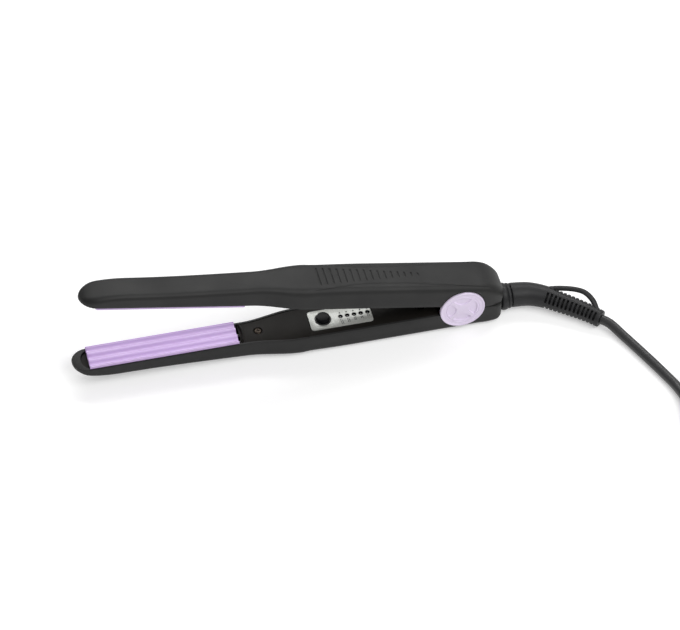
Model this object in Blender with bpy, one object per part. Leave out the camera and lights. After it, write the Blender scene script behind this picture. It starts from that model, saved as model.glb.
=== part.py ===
"""Hair crimper: two hinged arms with ribbed plates, a control strip and a swivelling cord.

Sizes are in metres. X runs from the tip end of the crimp plates towards the cord, Z is the height above the
plane in which the closed plates meet, and Y points away from the near hinge cap. An arm's pieces are placed
by their depth, measured from that plane outwards, and are modelled closed. The empty on the hinge axis then
opens the upper arm.
"""

import math
import typing

import bmesh
import bpy
from mathutils import Vector

# Clearances
SEAT_GAP = 0.0003  # between pieces that rest on each other
RUNNING_GAP = 0.0004  # between pieces that slide or turn past each other
PLATE_GAP = 0.0005  # between the meshing ribs when the arms are closed

# Crimp plates
PLATE_LENGTH = 0.0900
PLATE_WIDTH = 0.0164
PLATE_RIBS = 3
RIB_DEPTH = 0.0017
PLATE_EDGE_DEPTH = 0.0020
PLATE_BODY_WIDTH = 0.0140
PLATE_BODY_DEPTH = 0.0032
PLATE_LEG_THICKNESS = 0.0010
PLATE_LEG_DEPTH = 0.0062
PLATE_LEG_END = 0.0110  # from the plate's ends to the legs

# Heater, its spring strip and the fuse
HEATER_WIDTH = 0.0078
HEATER_THICKNESS = 0.0022
HEATER_START_X = 0.0120  # from the plate's ends to the heater
STRIP_LENGTH = 0.0500
STRIP_WIDTH = 0.0052
STRIP_THICKNESS = 0.0005
STRIP_WAVES = 2
FUSE_LENGTH = 0.0085
FUSE_RADIUS = 0.0010

# Arm shells
TIP_X = -0.0096
REAR_X = 0.2513
TIP_HALF_WIDTH = 0.0090
HANDLE_HALF_WIDTH = 0.0130
FLARE_START_X = 0.0950
FLARE_END_X = 0.1267
TIP_DEPTH = 0.0113
HANDLE_DEPTH = 0.0176
RISE_START_X = 0.0160
RISE_END_X = 0.1650
FALL_START_X = 0.2340
TIP_ROUND = 0.0100  # length of the rounded tip, seen from above
TIP_ROLL = 0.0300  # length over which the outer face rolls over at the tip, and how far it drops
TIP_DROP = 0.0088
REAR_END_SHARE = 0.64  # width left at the rear end, as a share of the arm's
LOWER_REAR_DEPTH = 0.0169  # the lower arm's end is squarer, round the swivel
LOWER_REAR_ROUND = 0.0045
LOWER_REAR_ROLL = 0.0100
LOWER_REAR_DROP = 0.0018
UPPER_REAR_DEPTH = 0.0146
UPPER_REAR_ROUND = 0.0125
UPPER_REAR_ROLL = 0.0125
UPPER_REAR_DROP = 0.0055
ROUND_POWER = 2.0
TIP_EDGE_RADIUS = 0.0032
HANDLE_EDGE_RADIUS = 0.0046
WALL = 0.0020
RIM_WALL = 0.0013
RIM_DEPTH = 0.0023
LEDGE_DEPTH = 0.0046
CAVITY_TIP_X = -0.0042
CAVITY_TIP_ROUND = 0.0060
CAVITY_REAR_X = 0.2405
CAVITY_CHAMFER = 0.0025

# Plate carrier
CARRIER_TOP = 0.0035
CARRIER_BOTTOM = 0.0092
POCKET_HALF_WIDTH = 0.0056
POCKET_FLOOR = 0.0076
POCKET_START_X = 0.0104

# Inner covers
COVER_GAP_X = 0.0016  # from the plate's end to the cover
COVER_END_X = 0.2110
COVER_TOP = 0.0025
LIP_LENGTH = 0.0016
LIP_TOP = 0.0009
LIP_HALF_WIDTH = 0.0074
SCREW_SETBACK = 0.0130  # from the plate's end
SCREW_HEAD_RADIUS = 0.0023
SCREW_HEAD_THICKNESS = 0.0010
SCREW_SHANK_RADIUS = 0.0010
SCREW_LENGTH = 0.0060
SCREW_SEAT_DEPTH = 0.0037
SLOT_LENGTH = 0.0030
SLOT_WIDTH = 0.0008
SLOT_DEPTH = 0.0006
POST_RADIUS = 0.0028

# Hinge
PIVOT_X = 0.2257
OPEN_ANGLE = math.radians(12.14)
PIN_RADIUS = 0.0022
PIN_HALF_LENGTH = 0.0124
EAR_RADIUS = 0.0070
EAR_THICKNESS = 0.0020
EAR_ROOT = 0.8  # share of the shell's wall that lies outside the ears' roots
LOWER_EAR_Y = 0.0086  # inner face of the lower arm's ears
BUSH_WALL = 0.0010
WASHER_WALL = 0.0020
WASHER_THICKNESS = 0.0005
CAP_RADIUS = 0.0138
CAP_OUTER_Y = 0.01353
CAP_THICKNESS = 0.00193
CAP_HUB_DEPTH = 0.0011
CAP_RIM_WIDTH = 0.0007
CAP_RIM_HEIGHT = 0.00025
CAP_RING_RADIUS = 0.0105
CAP_RING_WIDTH = 0.0006
PETAL_OUTER_RADIUS = 0.0094
PETAL_INNER_RADIUS = 0.0040
PETAL_HALF_ANGLE = math.radians(38)
PETAL_DEPTH = 0.0004

# Return spring between the arms
SPRING_X = 0.2036
SPRING_RADIUS = 0.0026  # to the middle of the wire
SPRING_WIRE_RADIUS = 0.0004
SPRING_TURNS = 6
SPRING_CUP_X = 0.2030
SPRING_CUP_RADIUS = 0.0052
SPRING_CUP_DEPTH = 0.0080
SPRING_CUP_WALL = 0.0010

# Grip grooves on the upper arm
GROOVE_COUNT = 16
GROOVE_START_X = 0.1335
GROOVE_PITCH = 0.00415
GROOVE_LENGTH = 0.0009
GROOVE_DEPTH = 0.0004
GROOVE_FIRST_HALF_WIDTH = 0.0073
GROOVE_LAST_HALF_WIDTH = 0.0012

# Control strip
PANEL_START_X = 0.1345
PANEL_LENGTH = 0.0380
PANEL_WIDTH = 0.0152
PANEL_CORNER = 0.0018
PANEL_TOP = 0.0022
PANEL_THICKNESS = 0.0006
BUTTON_X = 0.1429
BUTTON_RADIUS = 0.0040
BUTTON_TOP = -0.0004
BUTTON_SHOULDER = 0.0003
BUTTON_FLANGE = 0.0009
BUTTON_FLANGE_THICKNESS = 0.0007
BUTTON_STEM_RADIUS = 0.0015
BUTTON_STEM_END = 0.0060
BUTTON_TRAVEL = 0.0008
BEZEL_WALL = 0.0006
BEZEL_TOP = 0.0017
LED_COUNT = 5
LED_START_X = 0.1537
LED_PITCH = 0.00415
LIGHT_PIPE_RADIUS = 0.0011
LIGHT_PIPE_TOP = 0.0020
LIGHT_PIPE_END = 0.0066
LIGHT_BAR_HALF_WIDTH = 0.0016
LIGHT_BAR_THICKNESS = 0.0008

# Circuit board
BOARD_START_X = 0.1310
BOARD_LENGTH = 0.0500
BOARD_HALF_WIDTH = 0.0085
BOARD_TOP = 0.0090
BOARD_THICKNESS = 0.0012
BOARD_SCREW_INSET = 0.0025
BOARD_SCREW_LENGTH = 0.0045
SWITCH_SIZE = 0.0060
LED_RADIUS = 0.0015
CAPACITOR_RADIUS = 0.0018
CAPACITOR_LENGTH = 0.0110
CHIP_LENGTH = 0.0090
CHIP_THICKNESS = 0.0018
TERMINAL_LENGTH = 0.0032
TERMINAL_HALF_WIDTH = 0.0054
TERMINAL_HEIGHT = 0.0034

# Wires
LEAD_RADIUS = 0.0008
MAINS_LEAD_RADIUS = 0.0007
SPLICE_RADIUS = 0.0014
SPLICE_LENGTH = 0.0100

# Swivel
SWIVEL_DEPTH = 0.0091
COLLAR_START_X = 0.2523
COLLAR_LENGTH = 0.0067
COLLAR_RADIUS = 0.0084
COLLAR_EDGE = 0.0012
NECK_RADIUS = 0.0032
NECK_BORE_RADIUS = 0.0018
NECK_TAIL = 0.0020  # how far the neck stands into the shell's cavity
CLIP_THICKNESS = 0.0008
CLIP_OUTER_RADIUS = 0.0043
CLIP_GROOVE_RADIUS = 0.0025
CLIP_OPENING = math.radians(70)
SOCKET_DEPTH = 0.0050
SPIGOT_RADIUS = 0.0050

# Strain relief, with its hanging loop
BOOT_RADIUS = 0.0071
BOOT_END_RADIUS = 0.0052
BOOT_PLAIN_LENGTH = 0.0230
RELIEF_RIBS = 12
RELIEF_RIB_DEPTH = 0.0009
BOOT_ROUTE = (
    (0.2596, 0.0000, -0.0091),
    (0.2700, -0.0014, -0.0092),
    (0.2795, -0.0055, -0.0097),
    (0.2877, -0.0114, -0.0104),
    (0.2955, -0.0174, -0.0109),
    (0.3030, -0.0236, -0.0115),
    (0.3082, -0.0288, -0.0120),
)
LOOP_HALF_WIDTH = 0.0018
LOOP_HALF_THICKNESS = 0.0013
LOOP_ROUTE = (
    (0.2780, -0.0022, -0.0070),
    (0.2840, -0.0036, -0.0056),
    (0.2899, -0.0060, -0.0042),
    (0.2969, -0.0096, -0.0031),
    (0.3021, -0.0135, -0.0031),
    (0.3056, -0.0185, -0.0054),
    (0.3067, -0.0230, -0.0086),
    (0.3068, -0.0258, -0.0110),
)

# Cord
CORD_LENGTH = 1.8000
CORD_DIAMETER = 0.0060
CORD_ROUTE = (
    (0.3167, -0.0403, -0.0136),
    (0.3199, -0.0469, -0.0142),
    (0.3227, -0.0530, -0.0142),
    (0.3270, -0.0630, -0.0142),
    (0.3320, -0.0750, -0.0142),
    (0.3366, -0.0875, -0.0140),
    (0.3389, -0.0960, -0.0135),
    (0.3394, -0.1010, -0.0132),
)
CORD_STEP = 0.0120
COIL_TURNS = 8
COIL_PITCH = 0.0066
COIL_LAYER_STEP = 0.0066
COIL_POINTS = 24
CLIMB_TURNS = 0.5
TIE_THICKNESS = 0.0008
TIE_WIDTH = 0.0100
TIE_SLACK = 0.0007
TAIL_OFFSETS = (  # over the coil, from where the coil ends
    (0.0014, -0.0129, 0.0016),
    (0.0053, -0.0187, 0.0046),
    (0.0111, -0.0226, 0.0080),
    (0.0180, -0.0240, 0.0101),
)
TAIL_STEP = 0.0060

# Plug
PLUG_LENGTH = 0.0360
PLUG_HALF_WIDTH = 0.0130
PLUG_HALF_HEIGHT = 0.0068
PLUG_NECK_RADIUS = 0.0042
PLUG_TAPER_LENGTH = 0.0200
PIN_SPACING = 0.0186
PLUG_PIN_RADIUS = 0.0020
PLUG_PIN_LENGTH = 0.0190

# Numbers of flat faces round the turned pieces
FINE_SIDES = 32
ROUND_SIDES = 16
SMALL_SIDES = 10
ARC_STEPS = 4
STATION_STEP = 0.0110

# The two sides of the arms, named from where the near hinge cap is seen
SIDES = (("near", -1), ("far", 1))

# Finishes: colour, roughness, metallic
SOFT_TOUCH = ((0.050, 0.050, 0.049, 1.0), 0.62, 0.0)
INNER_PLASTIC = ((0.030, 0.027, 0.024, 1.0), 0.45, 0.0)
LILAC_COATING = ((0.640, 0.480, 0.740, 1.0), 0.28, 0.1)
LILAC_CAP = ((0.760, 0.660, 0.830, 1.0), 0.40, 0.0)
SILVER = ((0.480, 0.510, 0.490, 1.0), 0.35, 0.8)
GLOSS_BLACK = ((0.012, 0.012, 0.013, 1.0), 0.25, 0.0)
STEEL = ((0.560, 0.560, 0.560, 1.0), 0.35, 1.0)
SCREW_BROWN = ((0.110, 0.085, 0.060, 1.0), 0.40, 0.9)
CERAMIC = ((0.780, 0.750, 0.700, 1.0), 0.60, 0.0)
BOARD_GREEN = ((0.040, 0.160, 0.070, 1.0), 0.50, 0.0)
LENS = ((0.850, 0.850, 0.820, 1.0), 0.20, 0.0)
BLACK_RUBBER = ((0.016, 0.016, 0.017, 1.0), 0.42, 0.0)
WIRE_RED = ((0.450, 0.040, 0.030, 1.0), 0.45, 0.0)
WIRE_WHITE = ((0.700, 0.690, 0.660, 1.0), 0.45, 0.0)
BRASS = ((0.620, 0.480, 0.260, 1.0), 0.30, 1.0)

# Sizes that follow from those above
FLOOR_Z = -HANDLE_DEPTH
CENTRE_X = (TIP_X + COLLAR_START_X + COLLAR_LENGTH) / 2
COVER_START_X = PLATE_LENGTH + COVER_GAP_X
SCREW_X = PLATE_LENGTH + SCREW_SETBACK
COVER_BOTTOM = LEDGE_DEPTH - SEAT_GAP
COVER_EDGE_INSET = RIM_WALL + SEAT_GAP
HEATER_TOP = PLATE_BODY_DEPTH + SEAT_GAP
HEATER_BOTTOM = HEATER_TOP + HEATER_THICKNESS
HEATER_END_X = PLATE_LENGTH - HEATER_START_X
PLATE_LEG_INNER_Y = HEATER_WIDTH / 2 + SEAT_GAP
UPPER_EAR_Y = LOWER_EAR_Y - EAR_THICKNESS - RUNNING_GAP
LOWER_EAR_OUTER_Y = LOWER_EAR_Y + EAR_THICKNESS
CAP_INNER_Y = CAP_OUTER_Y - CAP_THICKNESS
WINDOW_RADIUS = CAP_RADIUS + SEAT_GAP
WINDOW_INNER_Y = HANDLE_HALF_WIDTH - WALL - SEAT_GAP / 3
PIN_BORE_RADIUS = PIN_RADIUS + SEAT_GAP
PANEL_BOTTOM = PANEL_TOP + PANEL_THICKNESS
PANEL_SEAT = PANEL_BOTTOM + SEAT_GAP
BEZEL_BORE_RADIUS = BUTTON_RADIUS + SEAT_GAP
BEZEL_RADIUS = BEZEL_BORE_RADIUS + BEZEL_WALL
LIGHT_HOLE_RADIUS = LIGHT_PIPE_RADIUS + SEAT_GAP
BOARD_END_X = BOARD_START_X + BOARD_LENGTH
BOARD_BOTTOM = BOARD_TOP + BOARD_THICKNESS
ON_BOARD = BOARD_TOP - SEAT_GAP
BOARD_SCREW_XS = (BOARD_START_X + BOARD_SCREW_INSET, BOARD_END_X - BOARD_SCREW_INSET)
SWITCH_TOP = BUTTON_STEM_END + BUTTON_TRAVEL + SEAT_GAP
SCREW_HOLE_RADIUS = SCREW_SHANK_RADIUS + SEAT_GAP
COLLAR_END_X = COLLAR_START_X + COLLAR_LENGTH
NECK_START_X = CAVITY_REAR_X - NECK_TAIL
CLIP_START_X = CAVITY_REAR_X - SEAT_GAP - CLIP_THICKNESS
CORD_RADIUS = CORD_DIAMETER / 2
COIL_Z = FLOOR_Z + TIE_THICKNESS + 2 * SEAT_GAP + CORD_RADIUS
COIL_LAYER_TURNS = COIL_TURNS / 2


class RearEnd(typing.NamedTuple):
    """An arm's rear end: its depth, the lengths over which it rounds and rolls over, and the roll's drop."""

    depth: float
    round_length: float
    roll_length: float
    drop: float


REAR_ENDS = {
    -1: RearEnd(LOWER_REAR_DEPTH, LOWER_REAR_ROUND, LOWER_REAR_ROLL, LOWER_REAR_DROP),
    1: RearEnd(UPPER_REAR_DEPTH, UPPER_REAR_ROUND, UPPER_REAR_ROLL, UPPER_REAR_DROP),
}


class Frame:
    """An empty that carries pieces, its place in the arms' frame and the side that depths point to."""

    def __init__(self, name, origin, side, parent=None, rotation=(0, 0, 0)):
        self.side = side
        self.origin = Vector(origin)
        self.empty = bpy.data.objects.new(name, None)
        bpy.context.scene.collection.objects.link(self.empty)
        self.empty.rotation_euler = rotation
        if parent is None:
            self.empty.location = (-CENTRE_X, 0, -FLOOR_Z)
        else:
            self.empty.parent = parent.empty
            self.empty.location = self.origin - parent.origin

    def at(self, x, y, depth):
        """The point at that depth on this frame's side, in the empty's own coordinates."""
        return Vector((x, y, self.side * depth)) - self.origin

    def local(self, point):
        """A point of the arms' frame in the empty's own coordinates."""
        return Vector(point) - self.origin


# Curves and spacing


def smooth(value, start, end):
    """0 before start, 1 after end, and an even S curve between them."""
    share = min(max((value - start) / (end - start), 0), 1)
    return share * share * (3 - 2 * share)


def mix(first, last, share):
    return first + (last - first) * share


def spaced(start, end, step):
    """Evenly spaced values from start to end, both included, about step apart."""
    count = max(1, round((end - start) / step))
    return [mix(start, end, index / count) for index in range(count + 1)]


def round_share(distance, length):
    """How far a rounded end has opened at this distance from its tip, from 0 to 1."""
    left = min(max(1 - distance / length, 0), 1)
    return (1 - left**ROUND_POWER) ** (1 / ROUND_POWER)


def rounded_ends(start, end, start_round, end_round):
    """Stations along X, closer together where the two ends are rounded."""
    shares = [(1 - math.cos(math.radians(angle))) for angle in (12, 24, 38, 54, 72)]
    first = [start + start_round * share for share in shares]
    last = [end - end_round * share for share in reversed(shares)]
    return first + spaced(start + start_round, end - end_round, STATION_STEP) + last


def curve_point(points, place):
    """A point on the smooth curve that passes through the points; place counts them from 0."""
    index = min(int(place), len(points) - 2)
    share = place - index
    near = [points[min(max(index + step, 0), len(points) - 1)] for step in (-1, 0, 1, 2)]
    before, start, end, after = (Vector(point) for point in near)
    leave = (end - before) / 2
    arrive = (after - start) / 2
    rest = 3 * (end - start) - 2 * leave - arrive
    turn = 2 * (start - end) + leave + arrive
    return start + leave * share + rest * share**2 + turn * share**3


def even_points(points, step):
    """Points about step apart along the smooth curve through the given points."""
    fine = [curve_point(points, index / 20) for index in range(20 * (len(points) - 1) + 1)]
    lengths = [0.0]
    for near, far in zip(fine, fine[1:]):
        lengths.append(lengths[-1] + (far - near).length)
    wanted = spaced(0, lengths[-1], step)
    result = []
    for target in wanted:
        index = next((i for i, length in enumerate(lengths) if length >= target - 1e-9), -1)
        result.append(fine[index])
    return result


def cord_path(start, heading, route, end_heading, step):
    """Points along a cord's route, straight for one diameter at both ends."""
    first = start + heading * CORD_DIAMETER
    middle = even_points([first, *[Vector(point) for point in route]], step)
    return [start, *middle, middle[-1] + end_heading * CORD_DIAMETER]


def path_length(points):
    return sum((far - near).length for near, far in zip(points, points[1:]))


# Meshes


def loft(bm, rings, closed=False):
    """Joins rings of points into one solid. A ring of one point is a tip."""
    rows = [[bm.verts.new(point) for point in ring] for ring in rings]
    pairs = list(zip(rows, rows[1:]))
    if closed:
        pairs.append((rows[-1], rows[0]))
    for near, far in pairs:
        count = max(len(near), len(far))
        for i in range(count):
            j = (i + 1) % count
            corners = [near[i % len(near)], near[j % len(near)], far[j % len(far)], far[i % len(far)]]
            bm.faces.new(list(dict.fromkeys(corners)))
    if not closed:
        for row in (rows[0], rows[-1]):
            if len(row) > 2:
                bm.faces.new(row)


def prism(bm, frame, outline, start_x, end_x):
    """A solid along X, from an outline of (y, depth) corners."""
    loft(bm, [[frame.at(x, y, depth) for y, depth in outline] for x in (start_x, end_x)])


def side_prism(bm, frame, outline, start_y, end_y):
    """A solid along Y, from an outline of (x, depth) corners."""
    loft(bm, [[frame.at(x, y, depth) for x, depth in outline] for y in (start_y, end_y)])


def plan_prism(bm, frame, outline, top, bottom):
    """A solid between two depths, from an outline of (x, y) corners."""
    loft(bm, [[frame.at(x, y, depth) for x, y in outline] for depth in (top, bottom)])


def box(bm, frame, x_range, y_range, depths):
    (x0, x1), (y0, y1) = x_range, y_range
    plan_prism(bm, frame, [(x0, y0), (x1, y0), (x1, y1), (x0, y1)], *depths)


def circle(radius, sides):
    turns = [2 * math.pi * (index + 0.5) / sides for index in range(sides)]
    return [(radius * math.cos(turn), radius * math.sin(turn)) for turn in turns]


def turned(bm, frame, axis, centre, profile, sides, closed=False):
    """A turned solid. The profile holds (place along the axis, radius), and the centre (x, y, depth)."""
    x, y, depth = centre
    rings = []
    for along, radius in profile:
        ring = circle(radius, sides) if radius else [(0, 0)]
        if axis == "X":
            rings.append([frame.at(along, y + a, depth + b) for a, b in ring])
        elif axis == "Y":
            rings.append([frame.at(x + a, along, depth + b) for a, b in ring])
        else:
            rings.append([frame.at(x + a, y + b, along) for a, b in ring])
    loft(bm, rings, closed)


def cylinder(bm, frame, axis, centre, start, end, radius, sides):
    turned(bm, frame, axis, centre, [(start, radius), (end, radius)], sides)


def sleeve(bm, frame, axis, centre, start, end, inner, outer, sides):
    profile = [(start, inner), (start, outer), (end, outer), (end, inner)]
    turned(bm, frame, axis, centre, profile, sides, closed=True)


def rounded_rectangle(start_x, end_x, half_width, corner, steps):
    """Corners of a rounded rectangle, seen from above."""
    points = []
    corners = ((end_x, 1, 0), (start_x, 1, 90), (start_x, -1, 180), (end_x, -1, 270))
    for x, side, first in corners:
        centre_x = x - math.copysign(corner, x - start_x - corner)
        centre_y = side * (half_width - corner)
        for index in range(steps + 1):
            angle = math.radians(first + 90 * index / steps)
            points.append((centre_x + corner * math.cos(angle), centre_y + corner * math.sin(angle)))
    return points


def swept(bm, frame, path, widths, heights, sides):
    """A solid along a path, with an oval of the given half width and half height at each point."""
    rings = []
    for index, point in enumerate(path):
        before = next((p for p in reversed(path[:index]) if (p - point).length > 1e-7), point)
        after = next((p for p in path[index + 1 :] if (p - point).length > 1e-7), point)
        forward = (after - before).normalized()
        across = forward.cross(Vector((0, 0, 1))).normalized()
        upward = across.cross(forward)
        wide, high = across * widths[index], upward * heights[index]
        rings.append([frame.local(point + wide * a + high * b) for a, b in circle(1, sides)])
    loft(bm, rings)


# Objects


def finish_material(name, finish):
    colour, roughness, metallic = finish
    material = bpy.data.materials.new(name)
    material.use_nodes = True
    shader = material.node_tree.nodes["Principled BSDF"]
    shader.inputs["Base Color"].default_value = colour
    shader.inputs["Roughness"].default_value = roughness
    shader.inputs["Metallic"].default_value = metallic
    material.diffuse_color = colour
    return material


def mesh_object(name, bm, frame):
    bmesh.ops.recalc_face_normals(bm, faces=bm.faces)
    mesh = bpy.data.meshes.new(name)
    bm.to_mesh(mesh)
    bm.free()
    obj = bpy.data.objects.new(name, mesh)
    bpy.context.scene.collection.objects.link(obj)
    obj.parent = frame.empty
    return obj


def piece(name, bm, frame, finish):
    obj = mesh_object(name, bm, frame)
    obj.data.materials.append(finish_material(name, finish))
    obj.data.shade_smooth()
    obj.data.set_sharp_from_angle(angle=math.radians(35))
    return obj


def combine(target, bm, frame, operation):
    """Cuts or adds the solids in bm to the target with an exact Boolean."""
    count = len(target.modifiers) + 1
    tool = mesh_object(f"{target.name}_tool_{count}", bm, frame)
    tool.hide_render = True
    tool.display_type = "WIRE"
    modifier = target.modifiers.new(tool.name, "BOOLEAN")
    modifier.operation = operation
    modifier.solver = "EXACT"
    modifier.object = tool


def cut(target, bm, frame):
    combine(target, bm, frame, "DIFFERENCE")


def fuse(target, bm, frame):
    combine(target, bm, frame, "UNION")


def tube(name, path, radius, resolution, frame, finish):
    """A round tube along the path, with closed ends."""
    curve = bpy.data.curves.new(name, "CURVE")
    curve.dimensions = "3D"
    curve.bevel_depth = radius
    curve.bevel_resolution = resolution
    curve.use_fill_caps = True
    spline = curve.splines.new("POLY")
    spline.points.add(len(path) - 1)
    for place, point in zip(spline.points, path):
        place.co = (*frame.local(point), 1)
    curve.materials.append(finish_material(name, finish))
    obj = bpy.data.objects.new(name, curve)
    bpy.context.scene.collection.objects.link(obj)
    obj.parent = frame.empty
    return obj


# The arms' shape


def flare(x):
    return smooth(x, FLARE_START_X, FLARE_END_X)


def half_width(x):
    """Half the arm's width at a station, before its ends are rounded."""
    return mix(TIP_HALF_WIDTH, HANDLE_HALF_WIDTH, flare(x))


def outer_depth(x, side):
    """Depth of the arm's outer face at a station. The face rolls over at both ends."""
    rear = REAR_ENDS[side]
    rise = mix(TIP_DEPTH, HANDLE_DEPTH, smooth(x, RISE_START_X, RISE_END_X))
    fall = (HANDLE_DEPTH - rear.depth) * smooth(x, FALL_START_X, REAR_X)
    tip_roll = TIP_DROP * (1 - round_share(x - TIP_X, TIP_ROLL))
    rear_roll = rear.drop * (1 - round_share(REAR_X - x, rear.roll_length))
    return rise - fall - tip_roll - rear_roll


def rear_opening(x, side):
    """Share of the arm's width at a station near its rear end."""
    return mix(REAR_END_SHARE, 1, round_share(REAR_X - x, REAR_ENDS[side].round_length))


def rim_depth(x):
    """Depth of the shell's rim. Behind the hinge the two rims slope apart by half the opening angle each."""
    if x <= PIVOT_X - EAR_RADIUS:
        return RIM_DEPTH
    return SEAT_GAP / 2 + max(x - PIVOT_X, 0) * math.tan(OPEN_ANGLE / 2)


def outer_section(x, side):
    """Outline of the arm at a station, as (y, depth) corners."""
    half = half_width(x) * round_share(x - TIP_X, TIP_ROUND) * rear_opening(x, side)
    depth = outer_depth(x, side)
    rim = rim_depth(x)
    radius = min(mix(TIP_EDGE_RADIUS, HANDLE_EDGE_RADIUS, flare(x)), 0.8 * half, 0.7 * (depth - rim))
    angles = [math.pi / 2 * index / ARC_STEPS for index in range(ARC_STEPS + 1)]
    arc = [(half - radius * (1 - math.cos(a)), depth - radius * (1 - math.sin(a))) for a in angles]
    right = [(half, rim)] + arc
    return right + [(-y, d) for y, d in reversed(right)]


def inner_section(x, side, inset, top, deepest):
    """Outline of the arm's cavity, a wide rebate over a narrower well, or with an inset what fits in it."""
    opening = round_share(x - CAVITY_TIP_X - inset, CAVITY_TIP_ROUND) * rear_opening(x, side)
    outer = half_width(x)
    rebate = (outer - RIM_WALL) * opening - inset
    well = (outer - WALL) * opening - inset
    floor = min(outer_depth(x, side) - WALL - inset, deepest)
    ledge = LEDGE_DEPTH - inset
    bevel = min(CAVITY_CHAMFER, 0.8 * well, 0.8 * (floor - ledge))
    right = [(rebate, top), (rebate, ledge), (well, ledge), (well, floor - bevel), (well - bevel, floor)]
    return right + [(-y, d) for y, d in reversed(right)]


def cavity_stations():
    shares = [(1 - math.cos(math.radians(angle))) for angle in (16, 30, 46, 66)]
    first = [CAVITY_TIP_X + CAVITY_TIP_ROUND * share for share in shares]
    return first + spaced(CAVITY_TIP_X + CAVITY_TIP_ROUND, CAVITY_REAR_X, STATION_STEP)


def rib_depth(y, side):
    """Depth of the ribbed face. The upper plate's ribs fill the lower plate's valleys."""
    pitch = PLATE_WIDTH / PLATE_RIBS
    valley = RIB_DEPTH * (1 + math.cos(2 * math.pi * y / pitch)) / 2
    return valley if side < 0 else PLATE_GAP - valley


# Pieces that both arms have


def shell(name, arm):
    bm = bmesh.new()
    stations = rounded_ends(TIP_X, REAR_X, TIP_ROUND, REAR_ENDS[arm.side].round_length)
    loft(bm, [[arm.at(x, y, depth) for y, depth in outer_section(x, arm.side)] for x in stations])
    body = piece(name, bm, arm, SOFT_TOUCH)
    cut_cavity(body, arm)
    cut_cap_windows(body, arm)
    add_post(body, arm, SCREW_X, LEDGE_DEPTH, SCREW_LENGTH)
    add_ears(body, arm)
    return body


def cut_cavity(body, arm):
    bm = bmesh.new()
    above = -LEDGE_DEPTH
    sections = [(x, inner_section(x, arm.side, 0, above, HANDLE_DEPTH)) for x in cavity_stations()]
    loft(bm, [[arm.at(x, y, depth) for y, depth in section] for x, section in sections])
    cut(body, bm, arm)


def add_post(body, arm, x, top, screw_length):
    """A screw post on the shell's floor, with its bore."""
    root = outer_depth(x, arm.side) - WALL / 2
    centre = (x, 0, 0)
    bm = bmesh.new()
    cylinder(bm, arm, "Z", centre, top, root, POST_RADIUS, SMALL_SIDES)
    fuse(body, bm, arm)
    bm = bmesh.new()
    bore_end = min(top + screw_length, root)
    cylinder(bm, arm, "Z", centre, top - SEAT_GAP, bore_end, SCREW_HOLE_RADIUS, SMALL_SIDES)
    cut(body, bm, arm)


def add_ears(body, arm):
    """Two hinge ears that stand on the shell's floor and reach past the hinge axis."""
    inner = LOWER_EAR_Y if arm.side < 0 else UPPER_EAR_Y
    angles = [math.pi * index / ROUND_SIDES for index in range(ROUND_SIDES + 1)]
    head = [(PIVOT_X + EAR_RADIUS * math.cos(a), -EAR_RADIUS * math.sin(a)) for a in angles]
    rear, front = [(x, outer_depth(x, arm.side) - EAR_ROOT * WALL) for x in (head[0][0], head[-1][0])]
    outline = [rear] + head + [front]
    bm = bmesh.new()
    for sign in (-1, 1):
        side_prism(bm, arm, outline, sign * inner, sign * (inner + EAR_THICKNESS))
    fuse(body, bm, arm)
    bm = bmesh.new()
    reach = LOWER_EAR_OUTER_Y + SEAT_GAP / 2
    cylinder(bm, arm, "Y", (PIVOT_X, 0, 0), -reach, reach, PIN_BORE_RADIUS, ROUND_SIDES)
    cut(body, bm, arm)


def cut_cap_windows(body, arm):
    """Round windows in the side walls, in which the hinge caps sit."""
    bm = bmesh.new()
    outside = 2 * HANDLE_HALF_WIDTH
    for sign in (-1, 1):
        start, end = sign * WINDOW_INNER_Y, sign * outside
        cylinder(bm, arm, "Y", (PIVOT_X, 0, 0), start, end, WINDOW_RADIUS, FINE_SIDES)
    cut(body, bm, arm)


def crimp_plate(name, arm):
    count = 8 * PLATE_RIBS
    ys = [PLATE_WIDTH * (index / count - 0.5) for index in range(count + 1)]
    edge, body_edge = PLATE_WIDTH / 2, PLATE_BODY_WIDTH / 2
    under = [(edge, PLATE_EDGE_DEPTH), (body_edge, PLATE_EDGE_DEPTH), (body_edge, PLATE_BODY_DEPTH)]
    outline = [(y, rib_depth(y, arm.side)) for y in ys]
    outline += under + [(-y, d) for y, d in reversed(under)]
    bm = bmesh.new()
    prism(bm, arm, outline, 0, PLATE_LENGTH)
    plate = piece(name, bm, arm, LILAC_COATING)
    bm = bmesh.new()
    top = PLATE_BODY_DEPTH - SEAT_GAP
    for sign in (-1, 1):
        legs = (sign * PLATE_LEG_INNER_Y, sign * (PLATE_LEG_INNER_Y + PLATE_LEG_THICKNESS))
        ends = (PLATE_LEG_END, PLATE_LENGTH - PLATE_LEG_END)
        box(bm, arm, ends, legs, (top, PLATE_LEG_DEPTH))
    fuse(plate, bm, arm)
    return plate


def plate_carrier(name, arm):
    first = CAVITY_TIP_X + SEAT_GAP
    shares = [(1 - math.cos(math.radians(angle))) for angle in (16, 30, 46, 66)]
    stations = [first + CAVITY_TIP_ROUND * share for share in shares]
    stations += spaced(first + CAVITY_TIP_ROUND, COVER_START_X - SEAT_GAP, 2 * STATION_STEP)
    bm = bmesh.new()
    sections = [(x, inner_section(x, arm.side, SEAT_GAP, CARRIER_TOP, CARRIER_BOTTOM)) for x in stations]
    loft(bm, [[arm.at(x, y, depth) for y, depth in section] for x, section in sections])
    tray = piece(name, bm, arm, INNER_PLASTIC)
    bm = bmesh.new()
    half = POCKET_HALF_WIDTH
    box(bm, arm, (POCKET_START_X, COVER_START_X), (-half, half), (CARRIER_TOP - SEAT_GAP, POCKET_FLOOR))
    cut(tray, bm, arm)
    return tray


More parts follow.
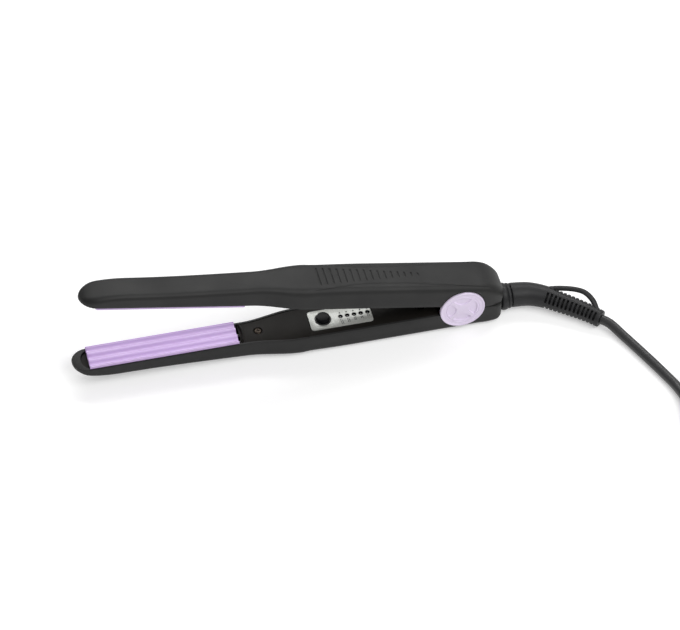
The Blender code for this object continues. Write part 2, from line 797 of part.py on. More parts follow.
def heater(name, arm):
    bm = bmesh.new()
    half = HEATER_WIDTH / 2
    box(bm, arm, (HEATER_START_X, HEATER_END_X), (-half, half), (HEATER_TOP, HEATER_BOTTOM))
    return piece(name, bm, arm, CERAMIC)


def heater_spring(name, arm):
    """A waved steel strip between the heater and the carrier's floor."""
    top = HEATER_BOTTOM + SEAT_GAP
    bottom = POCKET_FLOOR - SEAT_GAP
    swing = (bottom - top - STRIP_THICKNESS) / 2
    middle_x = (HEATER_START_X + HEATER_END_X) / 2
    count = 8 * STRIP_WAVES
    line = []
    for index in range(count + 1):
        share = index / count
        depth = (top + bottom) / 2 + swing * math.cos(2 * math.pi * STRIP_WAVES * share)
        line.append((middle_x + STRIP_LENGTH * (share - 0.5), depth))
    outline = [(x, depth - STRIP_THICKNESS / 2) for x, depth in line]
    outline += [(x, depth + STRIP_THICKNESS / 2) for x, depth in reversed(line)]
    bm = bmesh.new()
    side_prism(bm, arm, outline, -STRIP_WIDTH / 2, STRIP_WIDTH / 2)
    return piece(name, bm, arm, STEEL)


def inner_cover(name, arm):
    """The cover of the arm's inner face, with a lip, a screw seat and a cup for the return spring."""
    stations = spaced(COVER_START_X, COVER_END_X, STATION_STEP / 2)
    edge = [(x, half_width(x) - COVER_EDGE_INSET) for x in stations]
    bm = bmesh.new()
    plan_prism(bm, arm, edge + [(x, -y) for x, y in reversed(edge)], COVER_TOP, COVER_BOTTOM)
    cover = piece(name, bm, arm, INNER_PLASTIC)
    bm = bmesh.new()
    lip = (COVER_START_X, COVER_START_X + LIP_LENGTH)
    half = min(LIP_HALF_WIDTH, half_width(COVER_START_X) - COVER_EDGE_INSET - SEAT_GAP)
    box(bm, arm, lip, (-half, half), (LIP_TOP, COVER_TOP + SEAT_GAP))
    cup_bottom = SPRING_CUP_DEPTH + SPRING_CUP_WALL
    cup = (SPRING_CUP_X, 0, 0)
    outer = SPRING_CUP_RADIUS + SPRING_CUP_WALL
    cylinder(bm, arm, "Z", cup, COVER_TOP + SEAT_GAP, cup_bottom, outer, ROUND_SIDES)
    fuse(cover, bm, arm)
    bm = bmesh.new()
    cylinder(bm, arm, "Z", cup, 0, SPRING_CUP_DEPTH, SPRING_CUP_RADIUS, ROUND_SIDES)
    seat_radius = SCREW_HEAD_RADIUS + SEAT_GAP
    seat = [(0, seat_radius), (SCREW_SEAT_DEPTH, seat_radius)]
    seat += [(SCREW_SEAT_DEPTH, SCREW_HOLE_RADIUS), (LEDGE_DEPTH, SCREW_HOLE_RADIUS)]
    turned(bm, arm, "Z", (SCREW_X, 0, 0), seat, ROUND_SIDES)
    cut(cover, bm, arm)
    return cover


def add_screw(bm, frame, x, seat, length, sides):
    """A round-headed screw whose head stands on the seat."""
    under = seat - SEAT_GAP
    top = under - SCREW_HEAD_THICKNESS
    profile = [(top, 0), (top, 0.55 * SCREW_HEAD_RADIUS), (mix(top, under, 0.4), SCREW_HEAD_RADIUS)]
    profile += [(under, SCREW_HEAD_RADIUS), (under, SCREW_SHANK_RADIUS), (under + length, SCREW_SHANK_RADIUS)]
    turned(bm, frame, "Z", (x, 0, 0), profile, sides)


def cross_slot(bm, frame, x, top):
    """A plus-shaped prism that cuts a screw head's recess."""
    long, short = SLOT_LENGTH / 2, SLOT_WIDTH / 2
    quarter = [(long, -short), (long, short), (short, short)]
    outline = []
    for turn in range(4):
        for a, b in quarter:
            for _ in range(turn):
                a, b = -b, a
            outline.append((x + a, b))
    plan_prism(bm, frame, outline, top - SLOT_DEPTH, top + SLOT_DEPTH)


def cover_screw(name, arm):
    length = SCREW_LENGTH + LEDGE_DEPTH - SCREW_SEAT_DEPTH - SEAT_GAP
    bm = bmesh.new()
    add_screw(bm, arm, SCREW_X, SCREW_SEAT_DEPTH, length, ROUND_SIDES)
    screw = piece(name, bm, arm, SCREW_BROWN)
    bm = bmesh.new()
    cross_slot(bm, arm, SCREW_X, SCREW_SEAT_DEPTH - SEAT_GAP - SCREW_HEAD_THICKNESS)
    cut(screw, bm, arm)
    return screw


def lead_pair(name, route, radius, arm, finish):
    """Two like wires on either side of the middle, along a route of (x, y, depth) places."""
    for label, sign in SIDES:
        points = [Vector((x, sign * y, arm.side * depth)) for x, y, depth in route]
        tube(f"{name}_{label}", even_points(points, 6 * radius), radius, 1, arm, finish)


def heater_leads(name, arm):
    """Two wires from the heater, past the screw post, to the front edge of the circuit board's place."""
    start_depth = (HEATER_TOP + HEATER_BOTTOM) / 2
    end_depth = (BOARD_TOP + BOARD_BOTTOM) / 2
    start = HEATER_END_X + SEAT_GAP
    end = BOARD_START_X - SEAT_GAP
    beside_post = POST_RADIUS + 2 * LEAD_RADIUS
    spread = HEATER_WIDTH / 4
    route = [(start, spread, start_depth)]
    route += [(mix(start, COVER_START_X, 0.6), spread, start_depth + LEAD_RADIUS)]
    route += [(SCREW_X - 3 * POST_RADIUS, spread * 1.7, mix(start_depth, end_depth, 0.6))]
    route += [(SCREW_X, beside_post, mix(start_depth, end_depth, 0.75))]
    route += [(SCREW_X + 3 * POST_RADIUS, beside_post * 0.9, mix(start_depth, end_depth, 0.9))]
    route += [(mix(SCREW_X, end, 0.8), spread, end_depth), (end, spread, end_depth)]
    lead_pair(name, route, LEAD_RADIUS, arm, WIRE_WHITE)


def build_arm(label, arm):
    shell(f"{label}_shell", arm)
    crimp_plate(f"{label}_crimp_plate", arm)
    plate_carrier(f"{label}_plate_carrier", arm)
    heater(f"{label}_heater", arm)
    heater_spring(f"{label}_heater_spring", arm)
    inner_cover(f"{label}_inner_cover", arm)
    cover_screw(f"{label}_cover_screw", arm)
    heater_leads(f"{label}_heater_lead", arm)


# The lower arm's own pieces


def light_pipe_xs():
    return [LED_START_X + LED_PITCH * index for index in range(LED_COUNT)]


def open_cover_for_controls(cover, arm):
    """A recess for the strip, a hole for the button and one for each light pipe."""
    bm = bmesh.new()
    recess = rounded_rectangle(
        PANEL_START_X - SEAT_GAP,
        PANEL_START_X + PANEL_LENGTH + SEAT_GAP,
        PANEL_WIDTH / 2 + SEAT_GAP,
        PANEL_CORNER + SEAT_GAP,
        ARC_STEPS,
    )
    plan_prism(bm, arm, recess, 0, PANEL_SEAT)
    cut(cover, bm, arm)
    bm = bmesh.new()
    button_hole = BEZEL_BORE_RADIUS
    cylinder(bm, arm, "Z", (BUTTON_X, 0, 0), COVER_TOP, LEDGE_DEPTH, button_hole, ROUND_SIDES)
    for x in light_pipe_xs():
        cylinder(bm, arm, "Z", (x, 0, 0), COVER_TOP, LEDGE_DEPTH, LIGHT_HOLE_RADIUS, SMALL_SIDES)
    cut(cover, bm, arm)


def control_panel(arm):
    end = PANEL_START_X + PANEL_LENGTH
    outline = rounded_rectangle(PANEL_START_X, end, PANEL_WIDTH / 2, PANEL_CORNER, ARC_STEPS)
    bm = bmesh.new()
    plan_prism(bm, arm, outline, PANEL_TOP, PANEL_BOTTOM)
    panel = piece("control_panel", bm, arm, SILVER)
    bm = bmesh.new()
    start, stop = 0, PANEL_SEAT
    cylinder(bm, arm, "Z", (BUTTON_X, 0, 0), start, stop, BEZEL_RADIUS + SEAT_GAP, ROUND_SIDES)
    for x in light_pipe_xs():
        cylinder(bm, arm, "Z", (x, 0, 0), start, stop, LIGHT_HOLE_RADIUS, SMALL_SIDES)
    cut(panel, bm, arm)


def button_bezel(arm):
    middle = mix(BEZEL_BORE_RADIUS, BEZEL_RADIUS, 0.5)
    profile = [(PANEL_BOTTOM, BEZEL_BORE_RADIUS), (PANEL_BOTTOM, BEZEL_RADIUS), (PANEL_TOP, BEZEL_RADIUS)]
    profile += [(BEZEL_TOP, middle), (mix(BEZEL_TOP, PANEL_TOP, 0.4), BEZEL_BORE_RADIUS)]
    bm = bmesh.new()
    turned(bm, arm, "Z", (BUTTON_X, 0, 0), profile, ROUND_SIDES, closed=True)
    piece("button_bezel", bm, arm, GLOSS_BLACK)


def power_button(button):
    """A domed button with a flange under the cover that keeps it in."""
    flange_top = COVER_BOTTOM + SEAT_GAP
    flange_bottom = flange_top + BUTTON_FLANGE_THICKNESS
    flange_radius = BUTTON_RADIUS + BUTTON_FLANGE
    dome = BUTTON_SHOULDER - BUTTON_TOP
    profile = [(BUTTON_TOP, 0)]
    for share in (0.45, 0.75, 0.93, 1.0):
        profile.append((BUTTON_SHOULDER - dome * math.sqrt(1 - share**2), BUTTON_RADIUS * share))
    profile += [(flange_top, BUTTON_RADIUS), (flange_top, flange_radius), (flange_bottom, flange_radius)]
    profile += [(flange_bottom, BUTTON_STEM_RADIUS), (BUTTON_STEM_END, BUTTON_STEM_RADIUS)]
    profile += [(BUTTON_STEM_END, 0)]
    bm = bmesh.new()
    turned(bm, button, "Z", (BUTTON_X, 0, 0), profile, ROUND_SIDES)
    piece("power_button", bm, button, GLOSS_BLACK)


def led_lenses(arm):
    """Light pipes moulded in one with the bar that keeps them under the cover."""
    bar_top = COVER_BOTTOM + SEAT_GAP
    reach = LIGHT_PIPE_RADIUS + SEAT_GAP
    xs = light_pipe_xs()
    bm = bmesh.new()
    bar = (xs[0] - reach, xs[-1] + reach)
    half = LIGHT_BAR_HALF_WIDTH
    box(bm, arm, bar, (-half, half), (bar_top, bar_top + LIGHT_BAR_THICKNESS))
    lenses = piece("led_lenses", bm, arm, LENS)
    bm = bmesh.new()
    shoulder = mix(LIGHT_PIPE_TOP, PANEL_TOP, 0.8)
    for x in xs:
        profile = [(LIGHT_PIPE_TOP, 0), (mix(LIGHT_PIPE_TOP, shoulder, 0.3), 0.6 * LIGHT_PIPE_RADIUS)]
        profile += [(shoulder, LIGHT_PIPE_RADIUS), (LIGHT_PIPE_END, LIGHT_PIPE_RADIUS)]
        turned(bm, arm, "Z", (x, 0, 0), profile, SMALL_SIDES)
    fuse(lenses, bm, arm)


def circuit_board(arm):
    bm = bmesh.new()
    half = BOARD_HALF_WIDTH
    box(bm, arm, (BOARD_START_X, BOARD_END_X), (-half, half), (BOARD_TOP, BOARD_BOTTOM))
    board = piece("circuit_board", bm, arm, BOARD_GREEN)
    bm = bmesh.new()
    for x in BOARD_SCREW_XS:
        start, end = BOARD_TOP - SEAT_GAP, BOARD_BOTTOM + SEAT_GAP
        cylinder(bm, arm, "Z", (x, 0, 0), start, end, SCREW_HOLE_RADIUS, SMALL_SIDES)
    cut(board, bm, arm)


def board_screws(arm):
    for label, x in zip(("front", "rear"), BOARD_SCREW_XS):
        bm = bmesh.new()
        add_screw(bm, arm, x, BOARD_TOP, BOARD_SCREW_LENGTH, SMALL_SIDES)
        piece(f"board_screw_{label}", bm, arm, STEEL)


def indicator_lights(arm):
    """The lights, one under each light pipe, in the strip that holds them on the board."""
    xs = light_pipe_xs()
    bm = bmesh.new()
    strip = (xs[0] - LED_RADIUS - SEAT_GAP, xs[-1] + LED_RADIUS + SEAT_GAP)
    half = LED_RADIUS + SEAT_GAP
    box(bm, arm, strip, (-half, half), (ON_BOARD - LIGHT_BAR_THICKNESS, ON_BOARD))
    lights = piece("indicator_lights", bm, arm, LENS)
    bm = bmesh.new()
    for x in xs:
        start, end = LIGHT_PIPE_END + SEAT_GAP, ON_BOARD - LIGHT_BAR_THICKNESS / 2
        cylinder(bm, arm, "Z", (x, 0, 0), start, end, LED_RADIUS, SMALL_SIDES)
    fuse(lights, bm, arm)


def board_components(arm):
    """A capacitor, the control chip and the terminal block, soldered on the board."""
    first = light_pipe_xs()[0]
    beside = LED_RADIUS + SEAT_GAP + CAPACITOR_RADIUS + BUTTON_FLANGE
    bm = bmesh.new()
    centre = (0, beside, ON_BOARD - CAPACITOR_RADIUS)
    cylinder(bm, arm, "X", centre, first, first + CAPACITOR_LENGTH, CAPACITOR_RADIUS, SMALL_SIDES)
    piece("capacitor", bm, arm, SILVER)
    bm = bmesh.new()
    chip_y = (-beside - LED_RADIUS, -beside + LED_RADIUS)
    box(bm, arm, (first, first + CHIP_LENGTH), chip_y, (ON_BOARD - CHIP_THICKNESS, ON_BOARD))
    piece("control_chip", bm, arm, GLOSS_BLACK)
    bm = bmesh.new()
    end = BOARD_SCREW_XS[1] - SCREW_HEAD_RADIUS - SEAT_GAP
    sides = (-TERMINAL_HALF_WIDTH, TERMINAL_HALF_WIDTH)
    box(bm, arm, (end - TERMINAL_LENGTH, end), sides, (ON_BOARD - TERMINAL_HEIGHT, ON_BOARD))
    piece("terminal_block", bm, arm, CERAMIC)


def button_switch(arm):
    half = SWITCH_SIZE / 2
    bm = bmesh.new()
    box(bm, arm, (BUTTON_X - half, BUTTON_X + half), (-half, half), (SWITCH_TOP, ON_BOARD))
    piece("button_switch", bm, arm, GLOSS_BLACK)


def thermal_fuse(arm):
    start = HEATER_END_X + 2 * LEAD_RADIUS
    centre = (0, 0, POCKET_FLOOR - SEAT_GAP - FUSE_RADIUS)
    bm = bmesh.new()
    cylinder(bm, arm, "X", centre, start, start + FUSE_LENGTH, FUSE_RADIUS, SMALL_SIDES)
    piece("thermal_fuse", bm, arm, STEEL)


def lead_splices(arm):
    """Crimped joints on the ends of the upper arm's heater wires."""
    depth = (BOARD_TOP + BOARD_BOTTOM) / 2
    end = BOARD_START_X + SPLICE_LENGTH
    for label, sign in SIDES:
        bm = bmesh.new()
        centre = (0, sign * HEATER_WIDTH / 4, depth)
        cylinder(bm, arm, "X", centre, BOARD_START_X, end, SPLICE_RADIUS, SMALL_SIDES)
        piece(f"upper_lead_splice_{label}", bm, arm, STEEL)


def mains_leads(arm):
    """Two wires from the swivel's neck, under the hinge and the spring cup, to the board's rear edge."""
    end_depth = (BOARD_TOP + BOARD_BOTTOM) / 2
    under_cup = SPRING_CUP_DEPTH + SPRING_CUP_WALL + 3 * MAINS_LEAD_RADIUS
    near_neck = 1.4 * MAINS_LEAD_RADIUS
    spread = 3 * MAINS_LEAD_RADIUS
    route = [(NECK_START_X - SEAT_GAP, near_neck, SWIVEL_DEPTH)]
    route += [(PIVOT_X + EAR_RADIUS, near_neck, SWIVEL_DEPTH)]
    route += [(PIVOT_X, spread, mix(SWIVEL_DEPTH, under_cup, 0.6))]
    route += [(SPRING_CUP_X + EAR_RADIUS, spread, under_cup)]
    route += [(SPRING_CUP_X - EAR_RADIUS, spread, under_cup)]
    route += [(BOARD_END_X + EAR_RADIUS, spread, end_depth)]
    route += [(BOARD_END_X + SEAT_GAP, spread, end_depth)]
    lead_pair("mains_lead", route, MAINS_LEAD_RADIUS, arm, WIRE_RED)


def lower_arm_pieces(arm):
    cover = bpy.data.objects["lower_inner_cover"]
    body = bpy.data.objects["lower_shell"]
    open_cover_for_controls(cover, arm)
    for x in BOARD_SCREW_XS:
        add_post(body, arm, x, BOARD_BOTTOM + SEAT_GAP, BOARD_SCREW_LENGTH)
    open_shell_for_swivel(body, arm)
    control_panel(arm)
    button_bezel(arm)
    led_lenses(arm)
    circuit_board(arm)
    board_screws(arm)
    indicator_lights(arm)
    board_components(arm)
    button_switch(arm)
    thermal_fuse(arm)
    mains_leads(arm)


# The upper arm's own pieces


def cut_grip_grooves(body, arm):
    """Shallow cross grooves on the outer face, shorter towards the hinge."""
    bm = bmesh.new()
    for index in range(GROOVE_COUNT):
        x = GROOVE_START_X + GROOVE_PITCH * index
        half = mix(GROOVE_FIRST_HALF_WIDTH, GROOVE_LAST_HALF_WIDTH, index / (GROOVE_COUNT - 1))
        depth = outer_depth(x, arm.side)
        box(bm, arm, (x, x + GROOVE_LENGTH), (-half, half), (depth - GROOVE_DEPTH, depth + GROOVE_DEPTH))
    cut(body, bm, arm)


# Hinge


def hinge_pin(arm):
    bm = bmesh.new()
    cylinder(bm, arm, "Y", (PIVOT_X, 0, 0), -PIN_HALF_LENGTH, PIN_HALF_LENGTH, PIN_RADIUS, ROUND_SIDES)
    piece("hinge_pin", bm, arm, STEEL)


def hinge_bush(arm):
    half = UPPER_EAR_Y - SEAT_GAP
    outer = PIN_BORE_RADIUS + BUSH_WALL
    bm = bmesh.new()
    sleeve(bm, arm, "Y", (PIVOT_X, 0, 0), -half, half, PIN_BORE_RADIUS, outer, ROUND_SIDES)
    piece("hinge_bush", bm, arm, STEEL)


def hinge_washers(arm):
    gap = (CAP_INNER_Y - LOWER_EAR_OUTER_Y - WASHER_THICKNESS) / 2
    outer = PIN_BORE_RADIUS + WASHER_WALL
    for label, sign in SIDES:
        start = sign * (LOWER_EAR_OUTER_Y + gap)
        end = sign * (CAP_INNER_Y - gap)
        bm = bmesh.new()
        sleeve(bm, arm, "Y", (PIVOT_X, 0, 0), start, end, PIN_BORE_RADIUS, outer, ROUND_SIDES)
        piece(f"hinge_washer_{label}", bm, arm, STEEL)


def petal(direction):
    """Leaf outline between the star's arms, as (x, depth) corners."""
    end = PETAL_OUTER_RADIUS * math.cos(PETAL_HALF_ANGLE)
    side = PETAL_OUTER_RADIUS * math.sin(PETAL_HALF_ANGLE)
    shares = [index / ARC_STEPS - 1 for index in range(2 * ARC_STEPS + 1)]
    angles = [share * PETAL_HALF_ANGLE for share in shares]
    outer = [PETAL_OUTER_RADIUS * Vector((math.cos(angle), math.sin(angle))) for angle in angles]
    inner = [Vector((mix(PETAL_INNER_RADIUS, end, s * s), side * s)) for s in reversed(shares[1:-1])]
    cosine, sine = math.cos(direction), math.sin(direction)
    return [(PIVOT_X + cosine * p.x - sine * p.y, sine * p.x + cosine * p.y) for p in outer + inner]


def hinge_cap(name, arm, sign):
    """A round cap over the pin's end, with a rim, a fine ring and a four-pointed star between four petals."""
    face = CAP_OUTER_Y - CAP_RIM_HEIGHT
    rim_inner = CAP_RADIUS - 2 * CAP_RIM_WIDTH
    hub = CAP_INNER_Y + CAP_HUB_DEPTH
    ring_inner = CAP_RING_RADIUS - CAP_RING_WIDTH
    profile = [(hub, 0), (hub, PIN_BORE_RADIUS), (CAP_INNER_Y, PIN_BORE_RADIUS), (CAP_INNER_Y, CAP_RADIUS)]
    profile += [(CAP_OUTER_Y - CAP_RIM_WIDTH / 2, CAP_RADIUS), (CAP_OUTER_Y, CAP_RADIUS - CAP_RIM_WIDTH)]
    profile += [(face, rim_inner), (face, CAP_RING_RADIUS), (face - CAP_RIM_HEIGHT, CAP_RING_RADIUS)]
    profile += [(face - CAP_RIM_HEIGHT, ring_inner), (face, ring_inner), (face, 0)]
    bm = bmesh.new()
    turned(bm, arm, "Y", (PIVOT_X, 0, 0), [(sign * along, radius) for along, radius in profile], FINE_SIDES)
    cap = piece(name, bm, arm, LILAC_CAP)
    bm = bmesh.new()
    for quarter in range(4):
        outline = petal(quarter * math.pi / 2)
        side_prism(bm, arm, outline, sign * (face - PETAL_DEPTH), sign * (CAP_OUTER_Y + PETAL_DEPTH))
    cut(cap, bm, arm)


def upper_seat_height(x):
    """Height over the meeting plane of the upper spring cup's floor at X, with the arm open."""
    return SPRING_CUP_DEPTH / math.cos(OPEN_ANGLE) - (x - PIVOT_X) * math.tan(OPEN_ANGLE)


def return_spring(arm):
    """A pressed coil spring that stands in the two covers' cups and opens the arms."""
    reach = SPRING_RADIUS + SPRING_WIRE_RADIUS
    bottom = -SPRING_CUP_DEPTH + SEAT_GAP + SPRING_WIRE_RADIUS
    top = upper_seat_height(SPRING_X + reach) - SEAT_GAP - SPRING_WIRE_RADIUS
    points_per_turn = 9
    count = SPRING_TURNS * points_per_turn
    path = []
    for index in range(count + 1):
        turn = 2 * math.pi * index / points_per_turn
        place = (SPRING_X + SPRING_RADIUS * math.cos(turn), SPRING_RADIUS * math.sin(turn))
        path.append(Vector((*place, mix(bottom, top, index / count))))
    tube("return_spring", path, SPRING_WIRE_RADIUS, 1, arm, STEEL)


def hinge(arm):
    hinge_pin(arm)
    hinge_bush(arm)
    hinge_washers(arm)
    for label, sign in SIDES:
        hinge_cap(f"hinge_cap_{label}", arm, sign)
    return_spring(arm)


# Swivel, strain relief and cord


def open_shell_for_swivel(body, arm):
    bm = bmesh.new()
    centre = (0, 0, SWIVEL_DEPTH)
    outside = REAR_X + WALL
    cylinder(bm, arm, "X", centre, CAVITY_REAR_X - WALL, outside, NECK_RADIUS + SEAT_GAP, ROUND_SIDES)
    cut(body, bm, arm)


def swivel_collar(swivel):
    """The round collar, with a socket for the strain relief and a hollow neck through the shell's wall."""
    groove_start = CLIP_START_X - SEAT_GAP
    groove_end = CLIP_START_X + CLIP_THICKNESS + SEAT_GAP
    socket_start = COLLAR_END_X - SOCKET_DEPTH
    socket_radius = SPIGOT_RADIUS + SEAT_GAP
    profile = [(NECK_START_X, NECK_BORE_RADIUS), (NECK_START_X, NECK_RADIUS)]
    profile += [(groove_start, NECK_RADIUS), (groove_start, CLIP_GROOVE_RADIUS)]
    profile += [(groove_end, CLIP_GROOVE_RADIUS), (groove_end, NECK_RADIUS)]
    profile += [(COLLAR_START_X, NECK_RADIUS), (COLLAR_START_X, COLLAR_RADIUS - COLLAR_EDGE)]
    profile += [(COLLAR_START_X + COLLAR_EDGE, COLLAR_RADIUS), (COLLAR_END_X - COLLAR_EDGE, COLLAR_RADIUS)]
    profile += [(COLLAR_END_X, COLLAR_RADIUS - COLLAR_EDGE / 2), (COLLAR_END_X, socket_radius)]
    profile += [(socket_start, socket_radius), (socket_start, NECK_BORE_RADIUS)]
    bm = bmesh.new()
    centre = (0, 0, SWIVEL_DEPTH)
    turned(bm, swivel, "X", centre, profile, FINE_SIDES, closed=True)
    piece("swivel_collar", bm, swivel, BLACK_RUBBER)


def swivel_retaining_ring(swivel):
    """A spring steel ring, open at one side, in the neck's groove."""
    inner = CLIP_GROOVE_RADIUS + SEAT_GAP
    steps = ROUND_SIDES
    rings = []
    for index in range(steps + 1):
        angle = math.pi / 2 + CLIP_OPENING / 2 + (2 * math.pi - CLIP_OPENING) * index / steps
        spoke = (math.cos(angle), math.sin(angle))
        corners = [(CLIP_START_X, inner), (CLIP_START_X, CLIP_OUTER_RADIUS)]
        corners += [(x + CLIP_THICKNESS, radius) for x, radius in reversed(corners)]
        ring = [swivel.at(x, radius * spoke[0], SWIVEL_DEPTH - radius * spoke[1]) for x, radius in corners]
        rings.append(ring)
    bm = bmesh.new()
    loft(bm, rings)
    piece("swivel_retaining_ring", bm, swivel, STEEL)


def boot_path():
    """Points along the strain relief, with the half width at each: a spigot, a plain part and the ribs."""
    line = even_points(BOOT_ROUTE, 0.0005)
    total = path_length(line)
    step = total / (len(line) - 1)
    socket = Vector((COLLAR_END_X - SOCKET_DEPTH + SEAT_GAP, 0, -SWIVEL_DEPTH))
    points = [socket, Vector(BOOT_ROUTE[0]), Vector(BOOT_ROUTE[0])]
    radii = [SPIGOT_RADIUS, SPIGOT_RADIUS, BOOT_RADIUS]
    places = [BOOT_PLAIN_LENGTH * share for share in (0.2, 0.4, 0.6, 0.8, 1.0)]
    heights = [0] * len(places)
    pitch = (total - BOOT_PLAIN_LENGTH) / RELIEF_RIBS
    for index in range(RELIEF_RIBS):
        start = BOOT_PLAIN_LENGTH + pitch * index
        places += [start + 0.10 * pitch, start + 0.45 * pitch, start + 0.60 * pitch, start + 0.95 * pitch]
        heights += [-RELIEF_RIB_DEPTH, -RELIEF_RIB_DEPTH, 0, 0]
    for place, height in zip(places, heights):
        points.append(line[min(round(place / step), len(line) - 1)])
        taper = max(place - BOOT_PLAIN_LENGTH, 0) / (total - BOOT_PLAIN_LENGTH)
        radii.append(mix(BOOT_RADIUS, BOOT_END_RADIUS, taper) + height)
    return points, radii


def strain_relief(swivel):
    """The moulded boot: plain, then ribbed, with a strap that makes the hanging loop."""
    points, radii = boot_path()
    bm = bmesh.new()
    swept(bm, swivel, points, radii, radii, 12)
    boot = piece("strain_relief", bm, swivel, BLACK_RUBBER)
    strap = even_points(LOOP_ROUTE, 0.0034)
    count = len(strap)
    bm = bmesh.new()
    swept(bm, swivel, strap, [LOOP_HALF_WIDTH] * count, [LOOP_HALF_THICKNESS] * count, 8)
    fuse(boot, bm, swivel)


def coil_point(turn, centre, inner_radius):
    """A point of the coil: it winds inwards in the lower layer and outwards in the upper one."""
    angle = math.pi + 2 * math.pi * turn
    radius = inner_radius + COIL_PITCH * abs(turn - COIL_LAYER_TURNS)
    climb = smooth(turn, COIL_LAYER_TURNS - CLIMB_TURNS / 2, COIL_LAYER_TURNS + CLIMB_TURNS / 2)
    place = Vector((math.cos(angle) * radius, math.sin(angle) * radius, COIL_LAYER_STEP * climb))
    return centre + place


def coil_path(start, inner_radius):
    """The coil's points, with a straight run of one diameter at each end."""
    outer_radius = inner_radius + COIL_PITCH * COIL_LAYER_TURNS
    centre = start + Vector((outer_radius, -CORD_DIAMETER, 0))
    turns = [index / COIL_POINTS for index in range(COIL_TURNS * COIL_POINTS + 1)]
    wound = [coil_point(turn, centre, inner_radius) for turn in turns]
    leave = wound[-1] + Vector((0, -CORD_DIAMETER, 0))
    return [start] + wound + [leave], centre


def least_coil_gap(path):
    """The least distance between the surfaces of turns that lie beside or over each other."""
    neighbours = COIL_POINTS // 3
    least = math.inf
    for index, point in enumerate(path):
        for other in path[index + neighbours :]:
            least = min(least, (other - point).length)
    return least - CORD_DIAMETER


def cord_coil(swivel, start, length):
    """The put-away length of cord as one unbroken coil. Its mean radius follows from the length."""
    winding = length - 2 * CORD_DIAMETER
    mean_radius = winding / (2 * math.pi * COIL_TURNS)
    inner_radius = mean_radius - COIL_PITCH * COIL_LAYER_TURNS / 2
    path, centre = coil_path(start, inner_radius)
    tube("cord_coil", path, CORD_RADIUS, 1, swivel, BLACK_RUBBER)
    print(f"least gap between the coil's turns: {least_coil_gap(path) * 1000:.3f} mm")
    return path, centre, inner_radius


def cord_tie(swivel, centre, inner_radius):
    """A flat band round the coil's turns, on the side away from where the cord comes in."""
    inner = inner_radius + COIL_PITCH * 0.5 - CORD_RADIUS - SEAT_GAP - TIE_SLACK
    outer = inner_radius + COIL_PITCH * (COIL_LAYER_TURNS - 0.5) + CORD_RADIUS + SEAT_GAP
    low = COIL_Z - CORD_RADIUS - SEAT_GAP
    high = COIL_Z + COIL_LAYER_STEP + CORD_RADIUS + SEAT_GAP
    thick = TIE_THICKNESS
    rings = []
    for y in (-TIE_WIDTH / 2, TIE_WIDTH / 2):
        hole = [(inner, low), (outer, low), (outer, high), (inner, high)]
        rim = [(inner - thick, low - thick), (outer + thick, low - thick)]
        rim += [(outer + thick, high + thick), (inner - thick, high + thick)]
        rings.append([[Vector((centre.x + x, centre.y + y, z)) for x, z in loop] for loop in (hole, rim)])
    bm = bmesh.new()
    (near_hole, near_rim), (far_hole, far_rim) = rings
    corners = [[swivel.local(point) for point in loop] for loop in (near_hole, near_rim, far_rim, far_hole)]
    loft(bm, corners, closed=True)
    piece("cord_tie", bm, swivel, BLACK_RUBBER)


def plug(swivel, start, heading):
    """A flat two-pin plug lying on the coil, which the cord enters along the heading."""
    across = Vector((heading.y, -heading.x, 0))
    taper = PLUG_TAPER_LENGTH
    sections = [(0, PLUG_NECK_RADIUS, PLUG_NECK_RADIUS), (0.3 * taper, PLUG_NECK_RADIUS, PLUG_NECK_RADIUS)]
    sections += [(0.75 * taper, 0.85 * PLUG_HALF_WIDTH, 0.92 * PLUG_HALF_HEIGHT)]
    sections += [(taper, PLUG_HALF_WIDTH, PLUG_HALF_HEIGHT)]
    sections += [(0.97 * PLUG_LENGTH, PLUG_HALF_WIDTH, PLUG_HALF_HEIGHT)]
    sections += [(PLUG_LENGTH, 0.95 * PLUG_HALF_WIDTH, 0.90 * PLUG_HALF_HEIGHT)]
    rings = []
    for along, wide, high in sections:
        centre = start + heading * along
        rings.append([swivel.local(centre + across * a + Vector((0, 0, b))) for a, b in soft_rectangle(wide, high)])
    bm = bmesh.new()
    loft(bm, rings)
    piece("plug_body", bm, swivel, BLACK_RUBBER)
    face = start + heading * (PLUG_LENGTH + SEAT_GAP)
    for label, sign in (("left", -1), ("right", 1)):
        base = face + across * (sign * PIN_SPACING / 2)
        rings = []
        for along, share in ((0, 1), (0.93, 1), (1, 0.6)):
            pin = base + heading * (along * PLUG_PIN_LENGTH)
            ring = circle(share * PLUG_PIN_RADIUS, SMALL_SIDES)
            rings.append([swivel.local(pin + across * a + Vector((0, 0, b))) for a, b in ring])
        bm = bmesh.new()
        loft(bm, rings)
        piece(f"plug_pin_{label}", bm, swivel, BRASS)


def soft_rectangle(wide, high):
    """Corners of a rectangle whose corners are rounded by half of its height."""
    corner = 0.5 * high
    points = []
    for sign_x, sign_z, first in ((1, 1, 0), (-1, 1, 90), (-1, -1, 180), (1, -1, 270)):
        for index in range(3):
            angle = math.radians(first + 45 * index)
            x = sign_x * (wide - corner) + corner * math.cos(angle)
            points.append((x, sign_z * (high - corner) + corner * math.sin(angle)))
    return points


